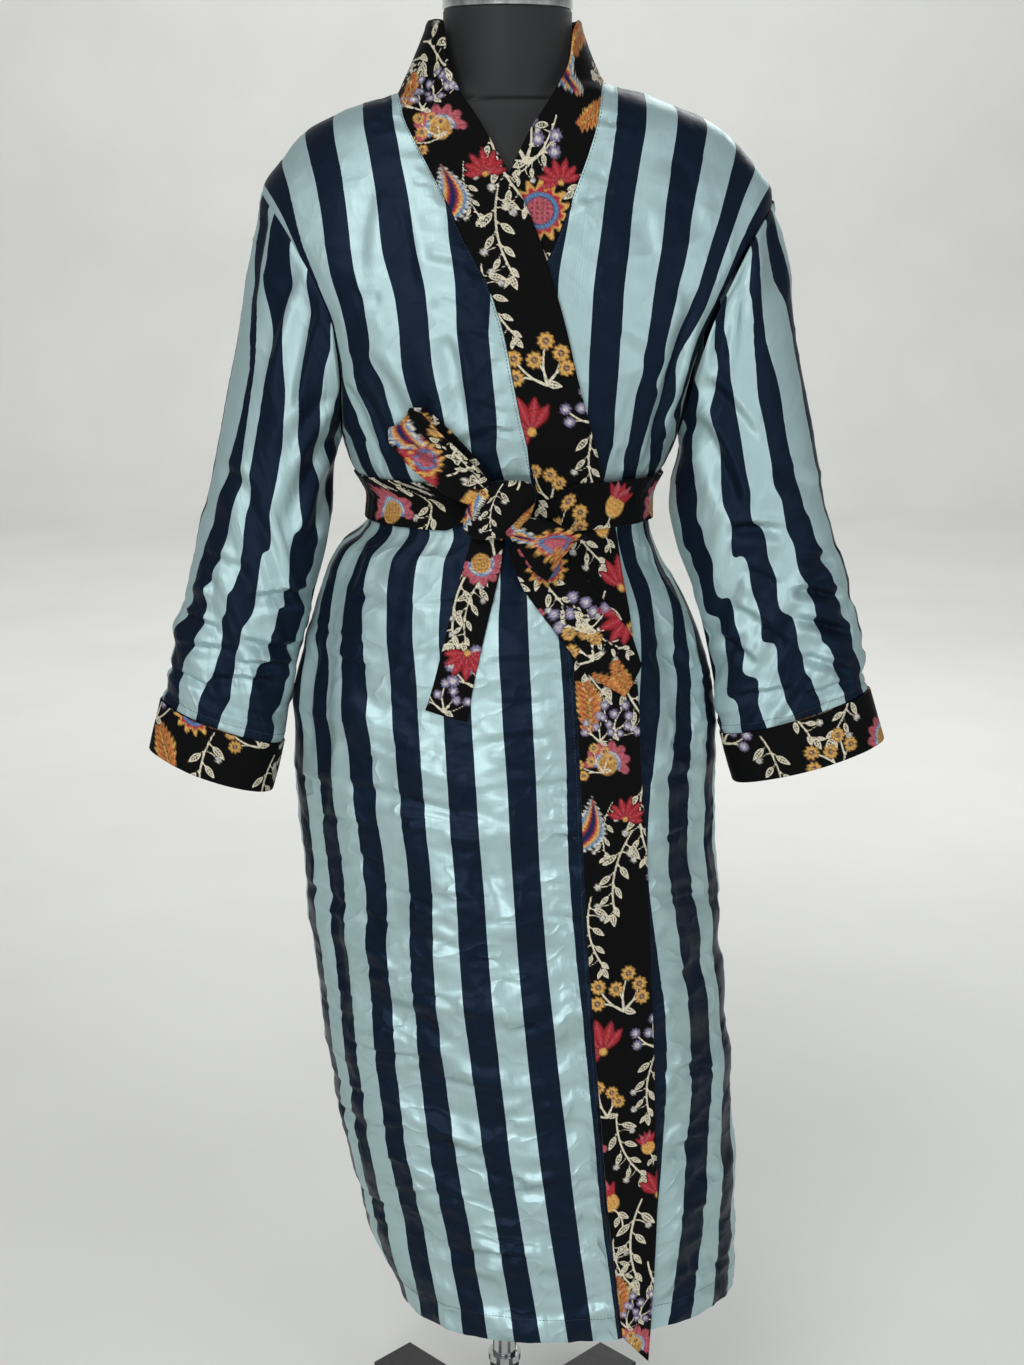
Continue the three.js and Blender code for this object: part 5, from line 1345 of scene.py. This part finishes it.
def knot():
    """A plump core of velvet with one strap wrapped over it aslant, from the upper right."""
    tilt, turn = grid(np.linspace(0.03, math.pi - 0.03, 96), ring_turns(160))
    z = KNOT_Z + KNOT_TALL / 2 * squarer(np.cos(tilt))
    behind = -robe_ring(z)["front"] - BELT_LIFT - 0.3 - KNOT_DEEP / 2
    plump = np.sin(tilt) ** 0.62
    x = KNOT_X + KNOT_LEAN * (z - KNOT_Z) + KNOT_WIDE / 2 * plump * squarer(np.cos(turn))
    y = behind + KNOT_DEEP / 2 * plump * squarer(np.sin(turn))
    flat = np.stack([x, y, z], -1)
    n = unit(flat - np.stack([0 * x + KNOT_X, behind, 0 * z + KNOT_Z], -1))
    aside, up = x - KNOT_X, z - KNOT_Z
    off, along = (aside - 2 - 0.8 * up) * 0.78, (up + 0.8 * aside) * 0.78  # across and along the strap
    half_wide = 16 + 0.12 * along  # it narrows downward
    over = smooth((half_wide - np.abs(off)) / 2.6 + 0.5)
    strap = 1 - 0.6 * (off / half_wide) ** 2 + 0.5 * np.cos(off * 0.62 + 0.5) * smooth(np.abs(along) / 30)
    beside = -3.8 + 1.6 * np.cos(0.5 * off + 0.12 * along + 1) + 0.5 * noise(x / 8, z / 10, 121)
    groove = np.exp(-((np.abs(off) - half_wide - 1.2) / 1.5) ** 2)
    move = np.clip(mix(beside - 2.2 * groove, strap, over), -7, 1.4) * smooth(-n[..., 1] * 1.6)
    # the strap and the parts beside it are other layers of the belt, each with its part of the print
    layer = np.where(over > 0.5, 0, np.where(off < 0, 1, 2))
    place = (KNOT_LAYERS[layer] + np.stack([off, -along], -1)).reshape(-1, 2)
    points = flat + n * move[..., None]
    return closed_mesh("belt_knot_velvet", points, place / 100, printed(place, KNOT_MOTIFS))


belt_knot = knot()

# %% [markdown]
# ## The dress form
# The form under the robe is a padded body covered in charcoal cloth, sewn from panels whose seams
# run down from the neck. The faceted CAD body is replaced by a smooth one through the same rings,
# with the seams pressed in as shallow grooves. Its steel neck cap is turned, so it is made again
# as a smooth turned shape.

# %% Form and cap
FORM_TOP, FORM_BOTTOM = 1495, 795
COLLAR_SEAM = 1432.0  # height of the seam round the neck at its sides
FORM_SEAMS = (-33, 33, 90, 147, 213, 270)  # bearings, degrees
CAP_X, CAP_RADIUS, CAP_BASE = 4.0, 58.5, 1495.3


def form_body():
    neck, body = np.linspace(FORM_TOP, 1382, 66), np.linspace(1376, FORM_BOTTOM, 60)
    z, b = grid(np.append(neck, body), ring_turns(144))
    groove = sum(np.exp(-(degrees_from(b, seam) / 1.6) ** 2) for seam in FORM_SEAMS)
    below = COLLAR_SEAM - 15 * np.cos(b) - z  # the seam dips in front
    collar = 1.5 * np.exp(-(below / 1.2) ** 2) + 0.8 * smooth(below / 1.5 + 0.5) * smooth((z - 1385) / 20)
    sunk = 0.9 * np.minimum(groove * smooth(below / 6), 1) + 1.3 * collar
    sunk = sunk + 1.2 * (1 - smooth((FORM_TOP - z) / 3 + 0.4))
    n = ring_normal(b, z, form_ring)
    return closed_mesh("form_body", ring_point(b, z, form_ring) - n * sunk[..., None])


def neck_cap():
    """A short wall with a rounded foot, and a flat dome."""
    wall = [(CAP_RADIUS - 1.0, 0), (CAP_RADIUS, 1.0), (CAP_RADIUS, 15)]
    dome = [(CAP_RADIUS * math.cos(a) ** 0.6, 17.5 + 17.4 * math.sin(a))
            for a in np.linspace(0.06, 1.55, 22)]
    radius, height = np.array((wall + dome)[::-1]).T[:, :, None]
    turn = ring_turns(96)
    x, y = CAP_X + radius * np.cos(turn), radius * np.sin(turn)
    return closed_mesh("neck_cap_steel", np.stack([x, y, CAP_BASE + height + 0 * turn], -1))


form, cap = form_body(), neck_cap()
print("points of the form and the cap:", len(form.data.vertices), len(cap.data.vertices))

# %% [markdown]
# ## Stitches
# Thread shows as rows of small stitches: along the band's seam on each front, round the hem and
# above each cuff. A stitch repeats along a path, which is what Geometry Nodes are for: the tree
# samples a path at the stitch length, puts a small thread loop at each point, turned along it,
# and joins them all.

# %% Stitch tree
STITCH_NODES = {
    "start": "NodeGroupInput", "end": "NodeGroupOutput", "line": "GeometryNodeMeshToCurve",
    "steps": "GeometryNodeResampleCurve", "ball": "GeometryNodeMeshUVSphere",
    "loop": "GeometryNodeTransform", "tangent": "GeometryNodeInputTangent",
    "turn": "FunctionNodeAlignRotationToVector", "place": "GeometryNodeInstanceOnPoints",
    "real": "GeometryNodeRealizeInstances", "paint": "GeometryNodeSetMaterial",
    "half": "ShaderNodeMath", "size": "ShaderNodeCombineXYZ"}
STITCH_LINKS = """
    start.Path line.Mesh; line.Curve steps.Curve; start.Pitch steps.Length
    start.Length half.Value; half.Value size.X; start.Thickness size.Y; start.Thickness size.Z
    ball.Mesh loop.Geometry; size.Vector loop.Scale; tangent.Tangent turn.Vector
    steps.Curve place.Points; loop.Geometry place.Instance; turn.Rotation place.Rotation
    place.Instances real.Geometry; real.Geometry paint.Geometry; start.Thread paint.Material
    paint.Geometry end.Stitches"""


def stitch_tree():
    tree = bpy.data.node_groups.new("stitches", "GeometryNodeTree")
    socket = tree.interface.new_socket
    socket(name="Path", in_out="INPUT", socket_type="NodeSocketGeometry")
    for name, metres in (("Pitch", 0.0034), ("Length", 0.0024), ("Thickness", 0.00028)):
        socket(name=name, in_out="INPUT", socket_type="NodeSocketFloat").default_value = metres
    socket(name="Thread", in_out="INPUT", socket_type="NodeSocketMaterial")
    socket(name="Stitches", in_out="OUTPUT", socket_type="NodeSocketGeometry")
    nodes = {name: tree.nodes.new(kind) for name, kind in STITCH_NODES.items()}
    nodes["steps"].mode, nodes["turn"].axis, nodes["half"].operation = "LENGTH", "X", "MULTIPLY"
    nodes["half"].inputs[1].default_value = 0.5
    for name, value in (("Segments", 6), ("Rings", 4), ("Radius", 1.0)):
        nodes["ball"].inputs[name].default_value = value
    for pair in STITCH_LINKS.replace("\n", ";").split(";"):
        if pair.strip():
            (start, output), (end, into) = [side.split(".") for side in pair.split()]
            tree.links.new(nodes[start].outputs[output], nodes[end].inputs[into])
    return tree


STITCHES = stitch_tree()
INPUTS = {i.name: i.identifier for i in STITCHES.interface.items_tree if i.in_out == "INPUT"}
print("inputs:", list(INPUTS))

# %% [markdown]
# ## Materials
# Satin is smooth floats of thread over a plain back, so it shines along the cloth and shows faint
# streaks where single threads are thicker; its colour adds painted sheen along those streaks and
# painted shade in broad patches. Velvet swallows light, with a soft glow at grazing angles where
# the pile is seen from the side. Form cover, steel and black paint complete the set; the polished
# steel of the neck cap has painted reflections in tall bands.

# %% Material helpers
class Finish:
    """A material in the making, with short ways to add the nodes that these finishes need."""

    def __init__(self, name, **sockets):
        self.made = bpy.data.materials.new(name)
        self.made.use_nodes = True
        self.tree = self.made.node_tree
        self.shader = self.tree.nodes["Principled BSDF"]
        self.fill(self.shader, sockets)

    def put(self, socket, value):
        if isinstance(value, bpy.types.NodeSocket):
            self.tree.links.new(value, socket)
        else:
            socket.default_value = value

    def fill(self, made, sockets):
        """Sets or links inputs by name, with _ for a space, or by number after `in`."""
        for key, value in sockets.items():
            self.put(made.inputs[int(key[2:]) if key[2:].isdigit() else key.replace("_", " ")], value)

    def add(self, kind, settings=None, **sockets):
        made = self.tree.nodes.new("ShaderNode" + kind)
        for key, value in (settings or {}).items():
            setattr(made, key, value)
        self.fill(made, sockets)
        return made.outputs

    def paint(self, colour, roughness=None):
        self.put(self.shader.inputs["Base Color"], colour)
        if roughness is not None:
            self.put(self.shader.inputs["Roughness"], roughness)

    def maths(self, operation, *values):
        return self.add("Math", {"operation": operation}, **{f"in{i}": v for i, v in enumerate(values)})[0]

    def times(self, a, b):
        return self.maths("MULTIPLY", a, b)

    def remap(self, value, low, high, to_low=0.0, to_high=1.0, kind="LINEAR"):
        return self.add("MapRange", {"interpolation_type": kind}, Value=value, From_Min=low,
                        From_Max=high, To_Min=to_low, To_Max=to_high)[0]

    def cloth_uv(self):
        return self.add("UVMap", {"uv_map": "UVMap"})[0]

    def in_object(self):
        return self.add("TexCoord")["Object"]

    def noise(self, vector, scale, detail):
        return self.add("TexNoise", Vector=vector, Scale=scale, Detail=detail)[0]

    def cloud(self, vector, scale, detail):
        """Noise on a stretched vector."""
        return self.noise(self.stretched(vector, scale), 1.0, detail)

    def stretched(self, vector, scale):
        return self.add("Mapping", Vector=vector, Scale=scale)[0]

    def mixed(self, factor, a, b):
        """A mix of two colours, which are sockets or numbers."""
        made = self.tree.nodes.new("ShaderNodeMix")
        made.data_type = "RGBA"
        a, b = [v if isinstance(v, bpy.types.NodeSocket) else (*map(float, v), 1.0) for v in (a, b)]
        for socket, value in zip([i for i in made.inputs if i.enabled], (factor, a, b)):
            self.put(socket, value)
        return [o for o in made.outputs if o.enabled][0]

    def bumps(self, *layers):
        """Stacks bump layers of (height, strength, distance in metres)."""
        normal = {}
        for height, strength, distance in layers:
            made = self.add("Bump", Height=height, Strength=strength, Distance=distance, **normal)
            normal = {"Normal": made[0]}
        self.fill(self.shader, normal)


print("helpers ready")

# %% Striped satin
NAVY, PALE = linear(15, 27, 42), linear(160, 184, 186)


def satin_material():
    """Half of its shine takes the thread's colour, as silk floats do: bright on the pale stripes
    and dim on the navy ones."""
    f = Finish("striped_satin", Metallic=0.5, Specular_IOR_Level=0.08, Sheen_Weight=0.02,
               Sheen_Roughness=0.4)
    uv = f.cloth_uv()
    number, along, _ = f.add("SeparateXYZ", Vector=uv)
    is_pale = f.maths("GREATER_THAN", f.maths("FLOORED_MODULO", number, 2.0), 1.0)
    streak, patch = f.cloud(uv, (17, 0.9, 1), 3.0), f.cloud(uv, (0.7, 0.5, 1), 2.0)
    # The stripe colour comes in three copies: plain, paler and darker. Thin streaks along the threads lean
    # to the paler copy, painted sheen over the threads' own streaks; broad patches lean to the darker copy,
    # painted shade.
    plain, bright, painted_shade_tone = [f.mixed(is_pale, NAVY * navy, PALE * pale)
                           for navy, pale in ((1, 1), (1.7, 1.25), (0.75, 0.8))]
    streaks_and_sheen = f.mixed(f.times(streak, 0.5), plain, bright)
    low = f.remap(along, 13.0, 24.0)
    rough = f.maths("SUBTRACT", f.remap(streak, 0.0, 1.0, 0.38, 0.6), f.times(low, 0.09))
    # broad patches of painted shade from the darker copy
    f.paint(f.mixed(f.times(patch, 0.2), streaks_and_sheen, painted_shade_tone), rough)

    def wrinkle(scale):
        ridge = f.maths("ABSOLUTE", f.maths("SUBTRACT", f.cloud(uv, scale, 2.0), 0.5))
        return f.maths("POWER", f.maths("SUBTRACT", 1.0, f.times(ridge, 2.0)), 6.0)

    weave = f.add("TexWave", {"bands_direction": "Y"}, Vector=f.stretched(uv, (1, 26, 1)), Scale=1.6,
                  Distortion=0.4)[1]
    # stretched over the shoulders, the cloth is smooth; lower down it hangs free and crinkled
    freer = f.remap(along, 8.0, 20.0, 0.3, 1.0)
    aslant = f.maths("ADD", f.times(along, 0.5), f.times(number, 0.15))
    slack = f.noise(f.add("CombineXYZ", X=f.times(number, 0.2), Y=aslant)[0], 1.0, 1.5)
    f.bumps((wrinkle((0.4, 0.6, 1)), freer, 0.0013), (wrinkle((1.3, 2.4, 1)), 0.15, 0.0003),
            (f.cloud(uv, (0.5, 0.62, 1), 2.0), freer, 0.0027), (slack, low, 0.026),
            (f.cloud(uv, (22, 0.6, 1), 2.0), 0.4, 0.0003), (weave, 0.1, 0.0001))
    return f.made


SATIN_CLOTH = satin_material()
print("nodes of the satin:", len(SATIN_CLOTH.node_tree.nodes))

# %% Velvet and form cover
def velvet_material():
    f = Finish("floral_velvet", Roughness=0.8, Specular_IOR_Level=0.1, Sheen_Weight=0.12,
               Sheen_Roughness=0.3, Sheen_Tint=(0.7, 0.72, 0.78, 1))
    ink = f.add("Attribute", {"attribute_name": "print"})["Color"]
    twigs = f.add("Attribute", {"attribute_name": "twigs"})
    inside, vein, rib = f.add("SeparateXYZ", Vector=twigs["Vector"])

    def ramp(value, start, end):
        return f.remap(value, start, end, kind="SMOOTHSTEP")

    # a leaf is drawn as its outline, rib and slanting veins on black; a twig is a plain line
    lines = f.maths("MAXIMUM", ramp(inside, 1.5, 0.9), ramp(rib, 0.9, 0.45))
    lines = f.maths("MAXIMUM", lines, ramp(f.maths("SINE", f.times(vein, 2.2)), 0.35, 0.9))
    drawn = f.times(f.maths("MULTIPLY_ADD", lines, 0.88, 0.1), ramp(inside, -0.3, 0.35))
    drawn = f.maths("MAXIMUM", drawn, ramp(twigs["Alpha"], -0.3, 0.35))
    uv = f.cloth_uv()
    nap, crushed = f.cloud(uv, (150, 110, 1), 3.0), f.cloud(uv, (9, 5, 1), 2.0)
    blotch = f.remap(f.cloud(uv, (62, 48, 1), 1.0), 0.3, 0.65, 0.6, 1.1)
    shade = f.times(f.remap(nap, 0.0, 1.0, 0.6, 1.22), blotch)
    ink = f.mixed(drawn, ink, INK["cream"])
    f.paint(f.add("VectorMath", {"operation": "SCALE"}, in0=ink, Scale=shade)[0])
    f.bumps((crushed, 0.5, 0.0012), (nap, 0.5, 0.0003))
    return f.made


def cover_material():
    f = Finish("form_cover", Roughness=0.62, Specular_IOR_Level=0.35, Sheen_Weight=0.15)
    where = f.in_object()
    weave = f.add("TexVoronoi", Vector=where, Scale=900.0)["Distance"]
    patch = f.noise(where, 14.0, 4.0)
    f.paint(f.mixed(patch, linear(18, 19, 21), linear(28, 29, 31)))
    f.bumps((patch, 0.25, 0.001), (weave, 0.35, 0.0003))
    return f.made


VELVET_CLOTH, COVER = velvet_material(), cover_material()
print("materials", len(bpy.data.materials))

# %% Metal, paint, rubber and thread
TONE_AND_REFLECTION = {  # darkest and palest tone, smoothest and roughest, metal, grain and contrast
    "brushed_steel": ((168, 168, 170), (214, 214, 216), 0.14, 0.24, 1.0, (160, 160, 9), 1.0),
    # the cap's dark and pale tones, laid in tall bands by its grain column, are painted reflections of the
    # room
    "polished_steel": ((105, 107, 111), (252, 252, 252), 0.1, 0.18, 0.9, (30, 30, 1.5), 2.6),
    "black_paint": ((10, 10, 11), (20, 20, 21), 0.38, 0.6, 0.0, (60, 60, 60), 1.0),
    "foot_rubber": ((12, 12, 12), (24, 24, 24), 0.75, 0.95, 0.0, (120, 120, 120), 1.0),
    "navy_thread": ((22, 32, 48), (34, 46, 64), 0.5, 0.75, 0.0, (700, 700, 700), 1.0)}


def tone_and_reflection_material(name):
    dark, pale, smoothest, roughest, metal, grain, contrast = TONE_AND_REFLECTION[name]
    f = Finish(name, Metallic=metal)
    # patches of tone; on the polished steel, tall bands of painted reflection
    patch = f.cloud(f.in_object(), grain, 4.0)
    patch = f.remap(patch, 0.5 - 0.5 / contrast, 0.5 + 0.5 / contrast)
    f.paint(f.mixed(patch, linear(*dark), linear(*pale)), f.remap(patch, 0.0, 1.0, smoothest, roughest))
    f.bumps((patch, 0.08, 0.00005))
    return f.made


STEEL, CAP_STEEL, BLACK, RUBBER, THREAD = map(tone_and_reflection_material, TONE_AND_REFLECTION)
print("materials", len(bpy.data.materials))

# %% Sewing the rows of stitches
STITCH_LIFT = 0.12  # millimetres off the cloth
BODY_PITCH, CUFF_PITCH = 0.0034, 0.003  # metres from stitch to stitch
STITCH_SHARE = 0.72  # of the pitch is thread, the rest is a gap


def sew(name, paths, pitch):
    """Runs the stitch tree on the joined paths and keeps the result as a plain mesh."""
    points, edges = [], []
    for path in paths:
        edges += [(len(points) + i, len(points) + i + 1) for i in range(len(path) - 1)]
        points += (np.asarray(path) / 1000).tolist()
    mesh = bpy.data.meshes.new(name + "_path")
    mesh.from_pydata(points, edges, [])
    obj = in_scene(name + "_path", mesh)
    modifier = obj.modifiers.new("stitches", "NODES")
    modifier.node_group = STITCHES
    for socket, value in (("Pitch", pitch), ("Length", pitch * STITCH_SHARE), ("Thread", THREAD)):
        modifier[INPUTS[socket]] = value
    plain = bpy.data.meshes.new_from_object(obj.evaluated_get(bpy.context.evaluated_depsgraph_get()))
    bpy.data.objects.remove(obj)
    print(name, "faces", len(plain.polygons))
    return in_scene(name, plain)


def shell_points(obj, rows, columns):
    """The outer face of a shell as a grid again, in millimetres."""
    flat = np.empty(len(obj.data.vertices) * 3, np.float32)
    obj.data.vertices.foreach_get("co", flat)
    return flat.reshape(-1, 3)[:rows * columns].reshape(rows, columns, 3) * 1000


def raised(points, toward, around=False):
    return points + grid_normals(points, toward, around) * STITCH_LIFT


def panel_points(obj, step, columns, ahead):
    """A front's or the back's face, and its row of hem stitches."""
    points = shell_points(obj, len(even_rows(0, LAST_ROW, step)), columns)
    points = raised(points, np.array([0, ahead, 0]))
    return points, points[-1 - round(HEM_STITCH / step), 1:-1]


right_face, right_hem = panel_points(front_right, ROW_STEP, FRONT_COLUMNS, -1)
left_face, left_hem = panel_points(front_left, ROW_STEP, FRONT_COLUMNS, -1)
_, back_hem = panel_points(back, BACK_STEP, BACK_COLUMNS, 1)
body_paths = [right_face[2:, 1], left_face[2:, 1], right_hem, left_hem, back_hem]
stitches_body = sew("stitches_body", body_paths, BODY_PITCH)
cuff_rows = []
for obj in (sleeve_right, sleeve_left):
    points = shell_points(obj, *SLEEVE_POINTS)
    points = raised(points, points - points.mean(1, keepdims=True), True)
    cuff_rows.append(closed(points[-4:-3])[0])
stitches_sleeves = sew("stitches_sleeves", cuff_rows, CUFF_PITCH)

# %% [markdown]
# ## Putting it all together
# Each made piece says which CAD node it stands for and which body it moves with: the robe turns
# and rises with the form, on the pole.

# %% Pieces and their frame
CLOTH = [  # made piece, flat width and length in metres, how it is held, flat area if no rectangle
    (front_right, 0.40, 1.20, "draped", 0.36), (front_left, 0.40, 1.20, "draped", 0.36),
    (back, 0.56, 1.20, "draped", None),
    (sleeve_right, 0.40, 0.50, "hung", 0.175), (sleeve_left, 0.40, 0.50, "hung", 0.175),
    (band_right, 0.064, 1.27, "draped", None), (band_left, 0.064, 1.27, "draped", None),
    (band_neck, 0.064, 0.20, "draped", None),
    (cuff_right, 0.30, 0.05, "hung", None), (cuff_left, 0.34, 0.05, "hung", None),
    (belt_waist, 0.046, 0.80, "stretched", None),
    (loop_long, 0.040, 0.22, "folded", None), (loop_short, 0.046, 0.13, "folded", None),
    (tail_right, 0.040, 0.18, "hung", None), (tail_left, 0.044, 0.17, "hung", None)]
FINISHES = {"striped_satin": SATIN_CLOTH, "floral_velvet": VELVET_CLOTH, "form_cover": COVER,
            "polished_steel": CAP_STEEL}


def on_form(piece, node_name, slot):
    """A piece that stands for a node of the form's body, in a slot's finish."""
    piece.data.materials.append(FINISHES[slot])
    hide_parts(node_name)
    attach(piece, "form")


for piece, *_ in CLOTH:  # a piece is named after its node and its cloth
    node_name, cloth = piece.name.rsplit("_", 1)
    on_form(piece, node_name, {"cloth": "striped_satin", "velvet": "floral_velvet"}[cloth])
on_form(belt_knot, "belt_knot", "floral_velvet")
on_form(form, "form_torso", "form_cover")
on_form(cap, "neck_cap", "polished_steel")
for piece in (stitches_body, stitches_sleeves):
    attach(piece, "form")
print("sheets of cloth:", len(CLOTH))

# %% CAD pieces that stay
KEPT = {"pole": STEEL, "socket_rim": STEEL, "socket_tube": BLACK, "hub": BLACK, "base_plate": BLACK}
for number in "1234":
    KEPT.update({"leg_" + number: BLACK, "foot_" + number: RUBBER, "leg_bolt_" + number: STEEL})
for name, finish in KEPT.items():
    cad = frame["nodes"][name]
    for place in cad.material_slots:
        place.material = finish
    bevel = cad.modifiers.new("edges", "BEVEL")
    bevel.width, bevel.segments, bevel.limit_method = 0.0012, 3, "ANGLE"
    bevel.angle_limit = math.radians(50)
print("CAD pieces kept:", len(KEPT))

# %% [markdown]
# ## Room and light
# A pale floor that curves up into a wall, one large soft light from the front left, weaker ones
# from the right, from low in front and from behind, and a bright room. Satin needs large lights:
# their reflections are its highlights.

# %% Stage
LIGHTS = {  # place and target in metres, size, watts and tint
    "key": ((-0.9, -2.3, 2.9), (0, 0, 0.85), (1.7, 1.2), 43, (1.0, 0.99, 0.97)),
    "fill": ((1.9, -2.0, 1.4), (0, 0, 0.8), (0.7, 1.8), 16, (0.95, 0.98, 1.0)),
    "low": ((-0.6, -2.3, 0.8), (0, 0, 0.45), (0.8, 0.4), 16, (0.97, 0.99, 1.0)),
    "wall": ((0, 2.6, 4.2), (0, 6.6, 1.2), (6.0, 1.0), 175, (1, 1, 1)),
    "behind": ((1.2, 2.6, 2.6), (0, 0, 0.9), (1.4, 1.4), 34, (1, 1, 1))}
ROOM, ROOM_STRENGTH = (0.86, 0.89, 0.92, 1), 0.36
FLOOR_FRONT, FLOOR_BACK, WALL_TOP, HALF_WIDE = -8.0, 6.0, 6.0, 9.0  # metres


def stage():
    """The floor, its bend of 1 m radius and the wall, from front to back."""
    bend = np.linspace(0, QUARTER, 16)
    profile = [(FLOOR_FRONT, 0), *zip(FLOOR_BACK + np.sin(bend), 1 - np.cos(bend)),
               (FLOOR_BACK + 1, WALL_TOP)]
    points = np.array([(x, y, z) for y, z in profile for x in (-HALF_WIDE, HALF_WIDE)]) * 1000
    floor = make_object("floor", points, grid_quads(np.arange(len(points)).reshape(-1, 2)))
    f = Finish("plaster", Roughness=0.8, Specular_IOR_Level=0.2)
    f.paint(f.mixed(f.noise(f.in_object(), 2.2, 4.0), linear(214, 214, 210), linear(228, 228, 224)))
    floor.data.materials.append(f.made)


stage()
for name, (at, target, size, watts, tint) in LIGHTS.items():
    data = bpy.data.lights.new(name, "AREA")
    data.shape, data.size, data.size_y, data.energy, data.color = "RECTANGLE", *size, watts, tint
    lamp = in_scene(name, data)
    lamp.location = at
    lamp.rotation_euler = (Vector(target) - Vector(at)).to_track_quat("-Z", "Y").to_euler()
world = bpy.data.worlds.new("room")
world.use_nodes = True
world.node_tree.nodes["Background"].inputs["Color"].default_value = ROOM
world.node_tree.nodes["Background"].inputs["Strength"].default_value = ROOM_STRENGTH
bpy.context.scene.world = world
bpy.context.scene.view_settings.view_transform = "Standard"
print("lights", len(LIGHTS))
